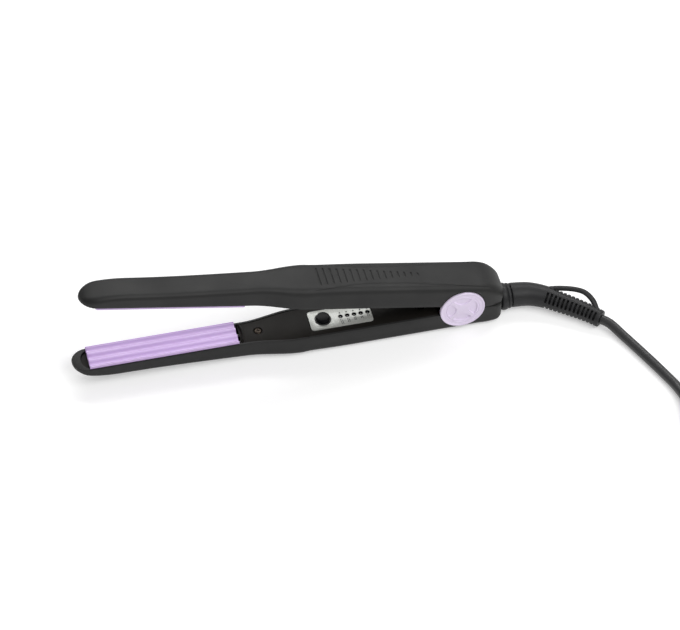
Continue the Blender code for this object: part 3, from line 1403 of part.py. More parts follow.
def cord(swivel):
    """The cord's three lengths, tied coil and plug. The coil takes what the other two leave of the length."""
    sideways, onward = Vector((0, -1, 0)), Vector((1, 0, 0))
    boot_end = Vector(BOOT_ROUTE[-1])
    heading = (boot_end - Vector(BOOT_ROUTE[-2])).normalized()
    run = cord_path(boot_end + heading * SEAT_GAP, heading, CORD_ROUTE, sideways, CORD_STEP)
    tube("cord_run", run, CORD_RADIUS, 3, swivel, BLACK_RUBBER)
    tail_shape = cord_path(Vector((0, 0, 0)), sideways, TAIL_OFFSETS, onward, TAIL_STEP)
    coil_length = CORD_LENGTH - path_length(run) - path_length(tail_shape)
    coil_start = Vector((run[-1].x, run[-1].y - SEAT_GAP, COIL_Z))
    path, centre, inner_radius = cord_coil(swivel, coil_start, coil_length)
    cord_tie(swivel, centre, inner_radius)
    tail_start = path[-1] + sideways * SEAT_GAP
    tail = [tail_start + offset for offset in tail_shape]
    tube("cord_tail", tail, CORD_RADIUS, 3, swivel, BLACK_RUBBER)
    plug(swivel, tail[-1] + onward * SEAT_GAP, onward)


def clear_scene():
    for obj in list(bpy.data.objects):
        bpy.data.objects.remove(obj)


def main():
    clear_scene()
    lower = Frame("lower_arm_frame", (0, 0, 0), -1)
    upper = Frame("arm_hinge_axis", (PIVOT_X, 0, 0), 1, lower, (0, OPEN_ANGLE, 0))
    button = Frame("button_axis", (BUTTON_X, 0, -BUTTON_TOP), -1, lower)
    swivel = Frame("swivel_axis", (CAVITY_REAR_X, 0, -SWIVEL_DEPTH), -1, lower)
    build_arm("lower", lower)
    build_arm("upper", upper)
    lower_arm_pieces(lower)
    cut_grip_grooves(bpy.data.objects["upper_shell"], upper)
    lead_splices(upper)
    hinge(lower)
    power_button(button)
    swivel_collar(swivel)
    swivel_retaining_ring(swivel)
    strain_relief(swivel)
    cord(swivel)


main()
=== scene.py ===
"""Looks of the hair crimper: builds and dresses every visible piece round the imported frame.

All sizes are in metres. The arms' own frame has x along the arms from the tip end of the crimp plates,
y away from the near hinge cap, and depth outwards from the plane in which the closed plates meet.
"""

import logging
import math
from dataclasses import dataclass
from enum import Enum
from typing import Any, Iterable, Optional, Sequence

import bmesh
import bpy
from mathutils import Matrix, Vector


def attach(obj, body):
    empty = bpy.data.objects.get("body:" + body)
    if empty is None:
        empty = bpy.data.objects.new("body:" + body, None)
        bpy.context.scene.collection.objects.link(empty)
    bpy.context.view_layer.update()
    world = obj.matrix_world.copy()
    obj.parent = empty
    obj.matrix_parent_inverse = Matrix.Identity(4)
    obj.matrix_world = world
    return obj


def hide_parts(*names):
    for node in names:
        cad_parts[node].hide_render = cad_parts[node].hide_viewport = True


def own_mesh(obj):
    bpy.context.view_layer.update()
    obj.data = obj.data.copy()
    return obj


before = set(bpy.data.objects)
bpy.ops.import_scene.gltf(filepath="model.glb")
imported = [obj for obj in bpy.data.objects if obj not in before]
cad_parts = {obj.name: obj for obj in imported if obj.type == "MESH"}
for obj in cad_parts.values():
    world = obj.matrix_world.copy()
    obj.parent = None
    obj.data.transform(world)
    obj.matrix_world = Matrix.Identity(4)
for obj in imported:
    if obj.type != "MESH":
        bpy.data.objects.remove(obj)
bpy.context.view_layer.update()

LOG = logging.getLogger("hair_crimper")
Pair = tuple[float, float]
Triple = tuple[float, float, float]
SAME_PLACE = 1e-7  # points closer than this count as one
FINE_PARTS = 40  # parts of a curve between two of its points


# Small geometry helpers


def mix(first: Any, last: Any, share: float) -> Any:
    """The value at that share of the way from first to last."""
    return first + (last - first) * share


def smooth(value: float, start: float, end: float) -> float:
    """0 before start, 1 after end, and an even S curve between them."""
    share = min(max((value - start) / (end - start), 0.0), 1.0)
    return share * share * (3 - 2 * share)


def spaced(start: float, end: float, step: float) -> list[float]:
    """Evenly spaced values from start to end, both included, about step apart."""
    count = max(1, round(abs(end - start) / step))
    return [mix(start, end, index / count) for index in range(count + 1)]


def round_share(distance: float, length: float) -> float:
    """How far a rounded end has opened at this distance from its tip, from 0 to 1."""
    left = min(max(1 - distance / length, 0.0), 1.0)
    return math.sqrt(1 - left * left)


def quarter(count: int) -> list[float]:
    """Angles from 0 to a quarter turn, both included."""
    return [math.pi / 2 * index / count for index in range(count + 1)]


def circle(radius: float, sides: int) -> list[Pair]:
    """Points of a circle round the origin."""
    turns = [2 * math.pi * (index + 0.5) / sides for index in range(sides)]
    return [(radius * math.cos(turn), radius * math.sin(turn)) for turn in turns]


def spokes(radius: float, sides: int) -> list[Pair]:
    """Points of a circle round the origin, or the origin where the radius is nothing."""
    return circle(radius, sides) if radius else [(0.0, 0.0)]


def mirrored(right: Sequence[Pair]) -> list[Pair]:
    """An outline whose right half is given, with what lies in the middle taken once."""
    return [*right, *((-y, depth) for y, depth in reversed(right) if y)]


def curve_point(points: Sequence[Vector], place: float) -> Vector:
    """A point on the smooth curve through the points, where place counts them from 0."""
    index = min(int(place), len(points) - 2)
    share = place - index
    before, start, end, after = (points[min(max(index + k, 0), len(points) - 1)] for k in (-1, 0, 1, 2))
    leave, arrive = (end - before) / 2, (after - start) / 2
    rest = 3 * (end - start) - 2 * leave - arrive
    turn = 2 * (start - end) + leave + arrive
    return start + leave * share + rest * share**2 + turn * share**3


def path_length(points: Sequence[Vector]) -> float:
    """Length of the broken line through the points."""
    return sum((far - near).length for near, far in zip(points, points[1:]))


def even_points(points: Sequence[Any], step: float) -> list[Vector]:
    """Points about step apart along the smooth curve through the given points."""
    knots = [Vector(point) for point in points]
    fine = [curve_point(knots, index / FINE_PARTS) for index in range(FINE_PARTS * (len(knots) - 1) + 1)]
    lengths = [0.0]
    for near, far in zip(fine, fine[1:]):
        lengths.append(lengths[-1] + (far - near).length)
    result, index = [], 0
    for target in spaced(0.0, lengths[-1], step):
        while index < len(fine) - 2 and lengths[index + 1] < target:
            index += 1
        span = lengths[index + 1] - lengths[index]
        result.append(mix(fine[index], fine[index + 1], min((target - lengths[index]) / span, 1.0)))
    return result


# Shader graphs and finishes


class Graph:
    """A node tree that is written one node at a time.

    Args:
        tree: the node tree to fill.
    """

    def __init__(self, tree: bpy.types.NodeTree) -> None:
        """Starts from the tree as it is."""
        self.tree = tree

    def node(self, kind: str, inputs: Optional[dict[Any, Any]] = None, **settings: Any) -> bpy.types.Node:
        """Adds a node.

        Args:
            kind: the node's type name.
            inputs: values or sockets for its inputs, by name or place.
            settings: the node's own properties.

        Returns:
            The new node.
        """
        node = self.tree.nodes.new(kind)
        for name, value in settings.items():
            setattr(node, name, value)
        for name, value in (inputs or {}).items():
            self.feed(node.inputs[name], value)
        return node

    def feed(self, socket: bpy.types.NodeSocket, value: Any) -> None:
        """Links a socket to this one, or sets this one's value."""
        if isinstance(value, bpy.types.NodeSocket):
            self.tree.links.new(value, socket)
        else:
            socket.default_value = value

    def math(self, operation: str, *values: Any) -> bpy.types.NodeSocket:
        """Adds a Math node and gives its result."""
        return self.node("ShaderNodeMath", dict(enumerate(values)), operation=operation).outputs[0]

    def noise(self, place: Any, scale: Any, detail: float) -> bpy.types.NodeSocket:
        """Adds a noise texture and gives its value."""
        values = {"Vector": place, "Scale": scale, "Detail": detail}
        return self.node("ShaderNodeTexNoise", values).outputs[0]

    def remap(self, *values: Any) -> bpy.types.NodeSocket:
        """Takes a value to a new range: the value, its range and, unless it is 0 to 1, the new one."""
        return self.node("ShaderNodeMapRange", dict(enumerate(values))).outputs[0]

    def blend(self, share: Any, first: Any, last: Any) -> bpy.types.NodeSocket:
        """Mixes two colours and gives the result."""
        return self.node("ShaderNodeMix", {0: share, 6: first, 7: last}, data_type="RGBA").outputs[2]


FLOAT, COLOUR, VECTOR = "NodeSocketFloat", "NodeSocketColor", "NodeSocketVector"
GEOMETRY, MATERIAL = "NodeSocketGeometry", "NodeSocketMaterial"
OBJECT, WHOLE = "NodeSocketObject", "NodeSocketInt"
MIDDLE_OF_NOISE = (0.3, 0.7)
GREY = (0.5, 0.5, 0.5, 1.0)
WHITE = (1.0, 1.0, 1.0, 1.0)


def add_sockets(tree: bpy.types.NodeTree, way: str, sockets: dict[str, tuple[str, Any]]) -> None:
    """Adds sockets to a node group, each with its type and its default, if it has one."""
    for label, (kind, default) in sockets.items():
        socket = tree.interface.new_socket(label, in_out=way, socket_type=kind)
        if default is not None:
            socket.default_value = default


def shader_group(name: str, inputs: dict[str, tuple[str, Any]],
                 outputs: dict[str, str]) -> tuple[Graph, Any, Any]:
    """Starts a shader node group.

    Args:
        name: the group's name.
        inputs: socket type and default for each input after the place.
        outputs: socket type for each output.

    Returns:
        The group's graph, what it is given, and the sockets that take its results.
    """
    tree = bpy.data.node_groups.new(name, "ShaderNodeTree")
    add_sockets(tree, "INPUT", {"Vector": (VECTOR, None), **inputs})
    add_sockets(tree, "OUTPUT", {label: (kind, None) for label, kind in outputs.items()})
    graph = Graph(tree)
    return graph, graph.node("NodeGroupInput").outputs, graph.node("NodeGroupOutput").inputs


class Effect(Enum):
    """The shader node groups that several finishes share."""

    GRAIN = "moulded_grain"
    MOTTLE = "soft_mottle"
    SPARKLE = "metal_flake"
    BRUSHED = "brushed_lines"

    def add(self, graph: Graph, place: bpy.types.NodeSocket, values: dict[str, Any]) -> Any:
        """Adds the group, which is built on its first use, to a graph and gives its outputs."""
        tree = bpy.data.node_groups.get(self.value) or EFFECT_BUILDERS[self](self.value)
        return graph.node("ShaderNodeGroup", {"Vector": place, **values}, node_tree=tree).outputs


def build_grain(name: str) -> bpy.types.NodeTree:
    """Fine moulded grain on slower swells, as a height."""
    sockets = {"Grains Per Metre": (FLOAT, 3000.0), "Swell": (FLOAT, 0.3)}
    graph, given, result = shader_group(name, sockets, {"Height": FLOAT})
    place, grains = given["Vector"], given["Grains Per Metre"]
    broad = graph.noise(place, graph.math("MULTIPLY", grains, 0.08), 2.0)
    swell = graph.math("MULTIPLY", broad, given["Swell"])
    graph.feed(result["Height"], graph.math("ADD", graph.noise(place, grains, 3.0), swell))
    return graph.tree


def build_mottle(name: str) -> bpy.types.NodeTree:
    """Slow variation between two colours, with a roughness that follows it."""
    colours = {"Colour": (COLOUR, GREY), "Other Colour": (COLOUR, GREY)}
    roughness = {"Least Roughness": (FLOAT, 0.4), "Most Roughness": (FLOAT, 0.5)}
    sockets = {"Patches Per Metre": (FLOAT, 60.0), **colours, **roughness}
    graph, given, result = shader_group(name, sockets, {"Colour": COLOUR, "Roughness": FLOAT})
    noise = graph.noise(given["Vector"], given["Patches Per Metre"], 4.0)
    tone = graph.blend(graph.remap(noise, *MIDDLE_OF_NOISE), *(given[label] for label in colours))
    graph.feed(result["Colour"], tone)
    ends = (given[label] for label in roughness)
    graph.feed(result["Roughness"], graph.remap(noise, *MIDDLE_OF_NOISE, *ends))
    return graph.tree


def build_sparkle(name: str) -> bpy.types.NodeTree:
    """Small metal flakes in a lacquer: a mask of brighter flakes and their uneven height."""
    sockets = {"Flakes Per Metre": (FLOAT, 2200.0), "Share": (FLOAT, 0.3)}
    graph, given, result = shader_group(name, sockets, {"Mask": FLOAT, "Height": FLOAT})
    wanted = {"Vector": given["Vector"], "Scale": given["Flakes Per Metre"]}
    cells = graph.node("ShaderNodeTexVoronoi", wanted)
    parts = graph.node("ShaderNodeSeparateColor", {0: cells.outputs["Color"]}).outputs
    edge = graph.math("SUBTRACT", 1.0, given["Share"])
    graph.feed(result["Mask"], graph.remap(parts[0], edge, 1.0))
    graph.feed(result["Height"], parts[1])
    return graph.tree


def build_brushed(name: str) -> bpy.types.NodeTree:
    """Fine lines along x, as a height."""
    graph, given, result = shader_group(name, {"Lines Per Metre": (FLOAT, 4000.0)}, {"Height": FLOAT})
    stretched = graph.node("ShaderNodeMapping", {"Vector": given["Vector"], "Scale": (0.03, 1.0, 1.0)})
    graph.feed(result["Height"], graph.noise(stretched.outputs[0], given["Lines Per Metre"], 3.0))
    return graph.tree


EFFECT_BUILDERS = {
    Effect.GRAIN: build_grain,
    Effect.MOTTLE: build_mottle,
    Effect.SPARKLE: build_sparkle,
    Effect.BRUSHED: build_brushed,
}


@dataclass(frozen=True)
class Finish:
    """A surface finish with grain, slow mottling and a roughness that varies a little."""

    name: str
    colour: Triple
    other: Triple
    roughness: Pair
    metallic: float = 0.0
    specular: float = 0.5
    coat: float = 0.0
    coat_roughness: float = 0.1
    grains: float = 2600.0
    grain_height: float = 0.00002
    swell: float = 0.3
    patches: float = 45.0

    def material(self) -> bpy.types.Material:
        """Gives the finish's material, built on its first use."""
        label = f"finish_{self.name}"
        found = bpy.data.materials.get(label)
        if found:
            return found
        made = bpy.data.materials.new(label)
        made.use_nodes = True
        made.diffuse_color = (*self.colour, 1.0)
        self.fill(Graph(made.node_tree), made.node_tree.nodes["Principled BSDF"])
        return made

    def fill(self, graph: Graph, shader: bpy.types.Node) -> None:
        """Writes the nodes before the shader and the values that are the same all over the surface."""
        place = graph.node("ShaderNodeTexCoord").outputs["Object"]
        tone = Effect.MOTTLE.add(graph, place, {
            "Patches Per Metre": self.patches,
            "Colour": (*self.colour, 1.0),
            "Other Colour": (*self.other, 1.0),
            "Least Roughness": self.roughness[0],
            "Most Roughness": self.roughness[1],
        })
        relief = {"Height": self.height(graph, place), "Distance": self.grain_height}
        bump = graph.node("ShaderNodeBump", relief)
        surface = {
            "Base Color": self.tint(graph, place, tone["Colour"]),
            "Roughness": tone["Roughness"],
            "Normal": bump.outputs[0],
            "Metallic": self.metallic,
            "Specular IOR Level": self.specular,
            "Coat Weight": self.coat,
            "Coat Roughness": self.coat_roughness,
        }
        for label, value in surface.items():
            graph.feed(shader.inputs[label], value)

    def tint(self, _graph: Graph, _place: bpy.types.NodeSocket,
             colour: bpy.types.NodeSocket) -> bpy.types.NodeSocket:
        """The base colour. A finish with its own pattern changes it here."""
        return colour

    def height(self, graph: Graph, place: bpy.types.NodeSocket) -> bpy.types.NodeSocket:
        """The height that feeds the bump."""
        values = {"Grains Per Metre": self.grains, "Swell": self.swell}
        return Effect.GRAIN.add(graph, place, values)["Height"]


@dataclass(frozen=True)
class FlakeFinish(Finish):
    """A lacquer with metal flakes in it."""

    flake: Triple = (0.9, 0.9, 0.9)
    flakes: float = 2200.0
    flake_share: float = 0.35

    def cells(self, graph: Graph, place: bpy.types.NodeSocket) -> Any:
        """The flakes' mask and height."""
        values = {"Flakes Per Metre": self.flakes, "Share": self.flake_share}
        return Effect.SPARKLE.add(graph, place, values)

    def tint(self, graph: Graph, place: bpy.types.NodeSocket,
             colour: bpy.types.NodeSocket) -> bpy.types.NodeSocket:
        """Lays brighter flakes over the colour."""
        return graph.blend(self.cells(graph, place)["Mask"], colour, (*self.flake, 1.0))

    def height(self, graph: Graph, place: bpy.types.NodeSocket) -> bpy.types.NodeSocket:
        """The flakes' uneven height."""
        return self.cells(graph, place)["Height"]


@dataclass(frozen=True)
class BrushedFinish(Finish):
    """Metal with fine lines along x."""

    def height(self, graph: Graph, place: bpy.types.NodeSocket) -> bpy.types.NodeSocket:
        """The lines' height."""
        return Effect.BRUSHED.add(graph, place, {"Lines Per Metre": self.grains})["Height"]


SOFT_TOUCH = Finish(
    "soft_touch_black", (0.0195, 0.0195, 0.019), (0.0165, 0.0165, 0.0165), (0.46, 0.54), specular=0.25,
    swell=0.5,
)
INNER = Finish(
    "inner_satin_black", (0.0105, 0.0092, 0.0076), (0.0088, 0.0076, 0.0064), (0.46, 0.54), specular=0.12,
)
PLATE = Finish(
    "lilac_plate_coating", (0.58, 0.405, 0.73), (0.57, 0.395, 0.72), (0.24, 0.27),
    coat=1.0, coat_roughness=0.08, grain_height=0.000001, patches=30.0,
)
CAP = Finish(
    "lilac_cap_moulding", (0.82, 0.72, 0.90), (0.79, 0.69, 0.88), (0.30, 0.38),
    coat=0.3, coat_roughness=0.2, grain_height=0.000004, patches=60.0,
)
PANEL = FlakeFinish(
    "silver_panel_lacquer", (0.49, 0.50, 0.47), (0.44, 0.45, 0.42), (0.34, 0.44), metallic=0.3, coat=0.2,
    grain_height=0.000006, patches=150.0, flake=(0.66, 0.67, 0.64), flakes=3600.0, flake_share=0.3,
)
GLOSS = Finish(
    "button_gloss_black", (0.006, 0.006, 0.007), (0.005, 0.005, 0.006), (0.28, 0.34), specular=0.08,
    grain_height=0.000002,
)
BEZEL = Finish(
    "bezel_grey", (0.05, 0.05, 0.05), (0.04, 0.04, 0.04), (0.30, 0.38), specular=0.3, metallic=0.2,
    grain_height=0.000003,
)
PRINT = Finish(
    "panel_print", (0.030, 0.032, 0.032), (0.022, 0.024, 0.024), (0.40, 0.50), grain_height=0.000002,
)
# Pale grey lens colour: a painted glint that stands for the highlight on each light's dark glossy dome.
LENS_PAINTED_GLINT = Finish(
    "light_lens_painted_glint", (0.34, 0.34, 0.32), (0.30, 0.30, 0.28), (0.14, 0.20), coat=0.3, grain_height=0.000003,
    patches=300.0,
)
RUBBER = Finish("boot_rubber", (0.020, 0.020, 0.021), (0.016, 0.016, 0.017), (0.44, 0.54), specular=0.3)
CORD = Finish(
    "cord_sheath", (0.036, 0.036, 0.037), (0.030, 0.030, 0.031), (0.34, 0.44), specular=0.4, grains=1800.0,
)
TIE = Finish(
    "tie_strap", (0.020, 0.020, 0.020), (0.030, 0.030, 0.030), (0.75, 0.9), grains=1500.0,
    grain_height=0.0001,
)
STEEL = BrushedFinish("plain_steel", (0.56, 0.56, 0.57), (0.50, 0.50, 0.51), (0.26, 0.36), metallic=1.0)
SCREW = BrushedFinish(
    "browned_screw", (0.040, 0.031, 0.024), (0.028, 0.021, 0.016), (0.3, 0.4), specular=0.3, metallic=0.8,
)
SPRING = BrushedFinish(
    "blackened_steel", (0.036, 0.036, 0.038), (0.028, 0.028, 0.030), (0.34, 0.42), metallic=0.7,
)
BRASS = BrushedFinish("nickel_brass", (0.66, 0.60, 0.48), (0.60, 0.53, 0.40), (0.2, 0.3), metallic=1.0)
HEATER = BrushedFinish(
    "heater_aluminium", (0.62, 0.62, 0.61), (0.54, 0.54, 0.53), (0.34, 0.44), metallic=1.0,
)
COMPONENT = Finish("component_grey", (0.30, 0.30, 0.29), (0.25, 0.25, 0.24), (0.40, 0.52))
BOARD = Finish("board_lacquer", (0.035, 0.14, 0.06), (0.028, 0.11, 0.05), (0.35, 0.45), coat=0.3)
RED_WIRE = Finish("red_insulation", (0.10, 0.018, 0.012), (0.08, 0.015, 0.010), (0.4, 0.5))
WHITE_WIRE = Finish("white_insulation", (0.68, 0.67, 0.64), (0.62, 0.60, 0.57), (0.45, 0.55))


# Meshes


class Solid:
    """A mesh that is put together from rings of points in the row frame."""

    def __init__(self) -> None:
        """Starts with an empty mesh."""
        self.bm = bmesh.new()

    def loft(self, rings: Sequence[Sequence[Vector]], closed: bool = False) -> "Solid":
        """Joins rings of points into a solid. A ring of one point is a tip.

        Args:
            rings: the rings, in order.
            closed: whether the last ring joins the first.

        Returns:
            This solid.
        """
        rows = [[self.bm.verts.new(point) for point in ring] for ring in rings]
        pairs = list(zip(rows, rows[1:]))
        if closed:
            pairs.append((rows[-1], rows[0]))
        for near, far in pairs:
            count = max(len(near), len(far))
            for i in range(count):
                j = (i + 1) % count
                corners = [near[i % len(near)], near[j % len(near)], far[j % len(far)], far[i % len(far)]]
                self.bm.faces.new(list(dict.fromkeys(corners)))
        if not closed:
            for row in (rows[0], rows[-1]):
                if len(row) > 2:
                    self.bm.faces.new(row)
        return self

    def sweep(self, path: Sequence[Vector], sizes: Sequence[Pair], sides: int) -> "Solid":
        """A solid along a path, with an oval of the given half width and half height at each point.

        Args:
            path: the points that it follows.
            sizes: half width and half height at each point.
            sides: number of faces round it.

        Returns:
            This solid.
        """
        rings = []
        for index, (point, (wide, high)) in enumerate(zip(path, sizes)):
            forward = direction_at(path, index)
            across = forward.cross(Vector((0, 0, 1))).normalized()
            upward = across.cross(forward)
            rings.append([point + across * (a * wide) + upward * (b * high) for a, b in circle(1.0, sides)])
        return self.loft(rings)

    def mesh(self, name: str) -> bpy.types.Mesh:
        """Ends the solid and gives its mesh, with its faces pointing outwards."""
        bmesh.ops.recalc_face_normals(self.bm, faces=self.bm.faces)
        made = bpy.data.meshes.new(name)
        self.bm.to_mesh(made)
        self.bm.free()
        return made

    def piece(self, name: str, finish: Finish) -> bpy.types.Object:
        """Ends the solid and gives it as an object in that finish."""
        made = in_scene(name, self.mesh(name))
        made.data.materials.append(finish.material())
        return made


def in_scene(name: str, data: Optional[bpy.types.ID]) -> bpy.types.Object:
    """A new object in the scene with that data."""
    made = bpy.data.objects.new(name, data)
    bpy.context.scene.collection.objects.link(made)
    return made


def direction_at(path: Sequence[Vector], index: int) -> Vector:
    """Direction of a path at one of its points, past any point that lies on the same place."""
    point = path[index]
    before = next((p for p in reversed(path[:index]) if (p - point).length > SAME_PLACE), point)
    after = next((p for p in path[index + 1:] if (p - point).length > SAME_PLACE), point)
    return (after - before).normalized()


def settle(target: bpy.types.Object) -> bpy.types.Object:
    """Turns an object with modifiers into a plain mesh object."""
    depsgraph = bpy.context.evaluated_depsgraph_get()
    made = bpy.data.meshes.new_from_object(target.evaluated_get(depsgraph), depsgraph=depsgraph)
    target.modifiers.clear()
    target.data = made
    return target


def carve(target: bpy.types.Object, tools: Iterable[bpy.types.Object],
          operation: str = "DIFFERENCE") -> bpy.types.Object:
    """Cuts the tools out of the target, or joins them to it, and removes them."""
    tools = list(tools)
    for tool in tools:
        modifier = target.modifiers.new("carve", "BOOLEAN")
        modifier.operation = operation
        modifier.solver = "EXACT"
        modifier.object = tool
    bpy.context.view_layer.update()
    settle(target)
    for tool in tools:
        bpy.data.objects.remove(tool)
    return target


def ease(target: bpy.types.Object, angle: float = 32.0) -> bpy.types.Object:
    """Smooths the shading, apart from edges sharper than the angle in degrees."""
    target.data.shade_smooth()
    target.data.set_sharp_from_angle(angle=math.radians(angle))
    return target


class GeometryTree:
    """A Geometry Nodes tree that ends in Realize Instances and Set Material.

    Args:
        name: the tree's name.
        inputs: socket type and default for each of its inputs after the geometry.
    """

    def __init__(self, name: str, inputs: dict[str, tuple[str, Any]]) -> None:
        """Starts the tree with its inputs."""
        tree = bpy.data.node_groups.new(name, "GeometryNodeTree")
        geometry = {"Geometry": (GEOMETRY, None)}
        add_sockets(tree, "INPUT", {**geometry, **inputs, "Material": (MATERIAL, None)})
        add_sockets(tree, "OUTPUT", geometry)
        self.graph = Graph(tree)
        self.given = self.graph.node("NodeGroupInput").outputs
        self.result = self.graph.node("NodeGroupOutput").inputs

    def end(self, geometry: bpy.types.NodeSocket) -> None:
        """Realizes the instances and sets the material."""
        real = self.graph.node("GeometryNodeRealizeInstances", {0: geometry}).outputs[0]
        dressed = {"Geometry": real, "Material": self.given["Material"]}
        self.graph.feed(self.result[0], self.graph.node("GeometryNodeSetMaterial", dressed).outputs[0])

    def run(self, target: bpy.types.Object, finish: Finish, values: dict[str, Any]) -> bpy.types.Object:
        """Puts the tree on an object and turns the result into its plain mesh.

        Args:
            target: the object whose geometry the tree takes.
            finish: the finish that the tree gives to what it makes.
            values: the inputs' values by name.

        Returns:
            The same object.
        """
        modifier = target.modifiers.new(self.graph.tree.name, "NODES")
        modifier.node_group = self.graph.tree
        chosen = {**values, "Material": finish.material()}
        for item in self.graph.tree.interface.items_tree:
            if item.in_out == "INPUT" and item.name in chosen:
                modifier[item.identifier] = chosen[item.name]
        bpy.context.view_layer.update()
        return settle(target)


def polyline(name: str, points: Sequence[Vector]) -> bpy.types.Object:
    """An object whose mesh is a line through the points."""
    made = bpy.data.meshes.new(name)
    made.from_pydata([tuple(p) for p in points], [(i, i + 1) for i in range(len(points) - 1)], [])
    return in_scene(name, made)


def row_tree() -> GeometryTree:
    """A tree that sets a shape evenly along a line, turned with it and scaled across from first to last."""
    ends = {label: (VECTOR, (1.0, 1.0, 1.0)) for label in ("First Scale", "Last Scale")}
    tree = GeometryTree("shape_row", {"Shape": (OBJECT, None), "Count": (WHOLE, 5), **ends})
    graph, given = tree.graph, tree.given
    line = graph.node("GeometryNodeMeshToCurve", {"Mesh": given["Geometry"]})
    curve = graph.node("GeometryNodeSetCurveNormal", {"Curve": line.outputs[0]}, mode="Z_UP")
    wanted = {"Curve": curve.outputs[0], "Count": given["Count"]}
    places = graph.node("GeometryNodeCurveToPoints", wanted).outputs
    shape = graph.node("GeometryNodeObjectInfo", {"Object": given["Shape"]}, transform_space="ORIGINAL")
    index = graph.node("GeometryNodeInputIndex").outputs[0]
    share = graph.math("DIVIDE", index, graph.math("SUBTRACT", given["Count"], 1.0))
    scales = {0: share, 4: given["First Scale"], 5: given["Last Scale"]}
    copies = graph.node("GeometryNodeInstanceOnPoints", {
        "Points": places["Points"],
        "Instance": shape.outputs["Geometry"],
        "Rotation": places["Rotation"],
        "Scale": graph.node("ShaderNodeMix", scales, data_type="VECTOR").outputs[1],
    })
    tree.end(copies.outputs[0])
    return tree


def row_of(tree: GeometryTree, name: str, finish: Finish, path: Sequence[Vector], shape: bpy.types.Object,
           count: int, scales: tuple[Triple, Triple] = ((1, 1, 1), (1, 1, 1))) -> bpy.types.Object:
    """Sets copies of a shape evenly along a path, and removes the shape.

    Args:
        tree: the tree made by row_tree.
        name: name of the new object.
        finish: its finish.
        path: the line's points. At each copy the shape's z points along it.
        shape: the object that is repeated, modelled round the origin.
        count: number of copies.
        scales: scale of the first and of the last copy.

    Returns:
        The new object, a plain mesh.
    """
    target = polyline(name, path)
    values = {"Shape": shape, "Count": count, "First Scale": scales[0], "Last Scale": scales[1]}
    tree.run(target, finish, values)
    bpy.data.objects.remove(shape)
    return target


# The arms


LARGE_SHARE, SMALL_SHARE = 0.8, 0.2  # most that a rounding takes of the room beside it


class Axis(Enum):
    """The axes of an arm's own frame, by their place in a point."""

    X = 0
    Y = 1
    DEPTH = 2


@dataclass(frozen=True)
class RearEnd:
    """An arm's rear end: its depth, the lengths over which it rounds and rolls over, and its drop."""

    depth: float
    round_length: float
    roll_length: float
    drop: float


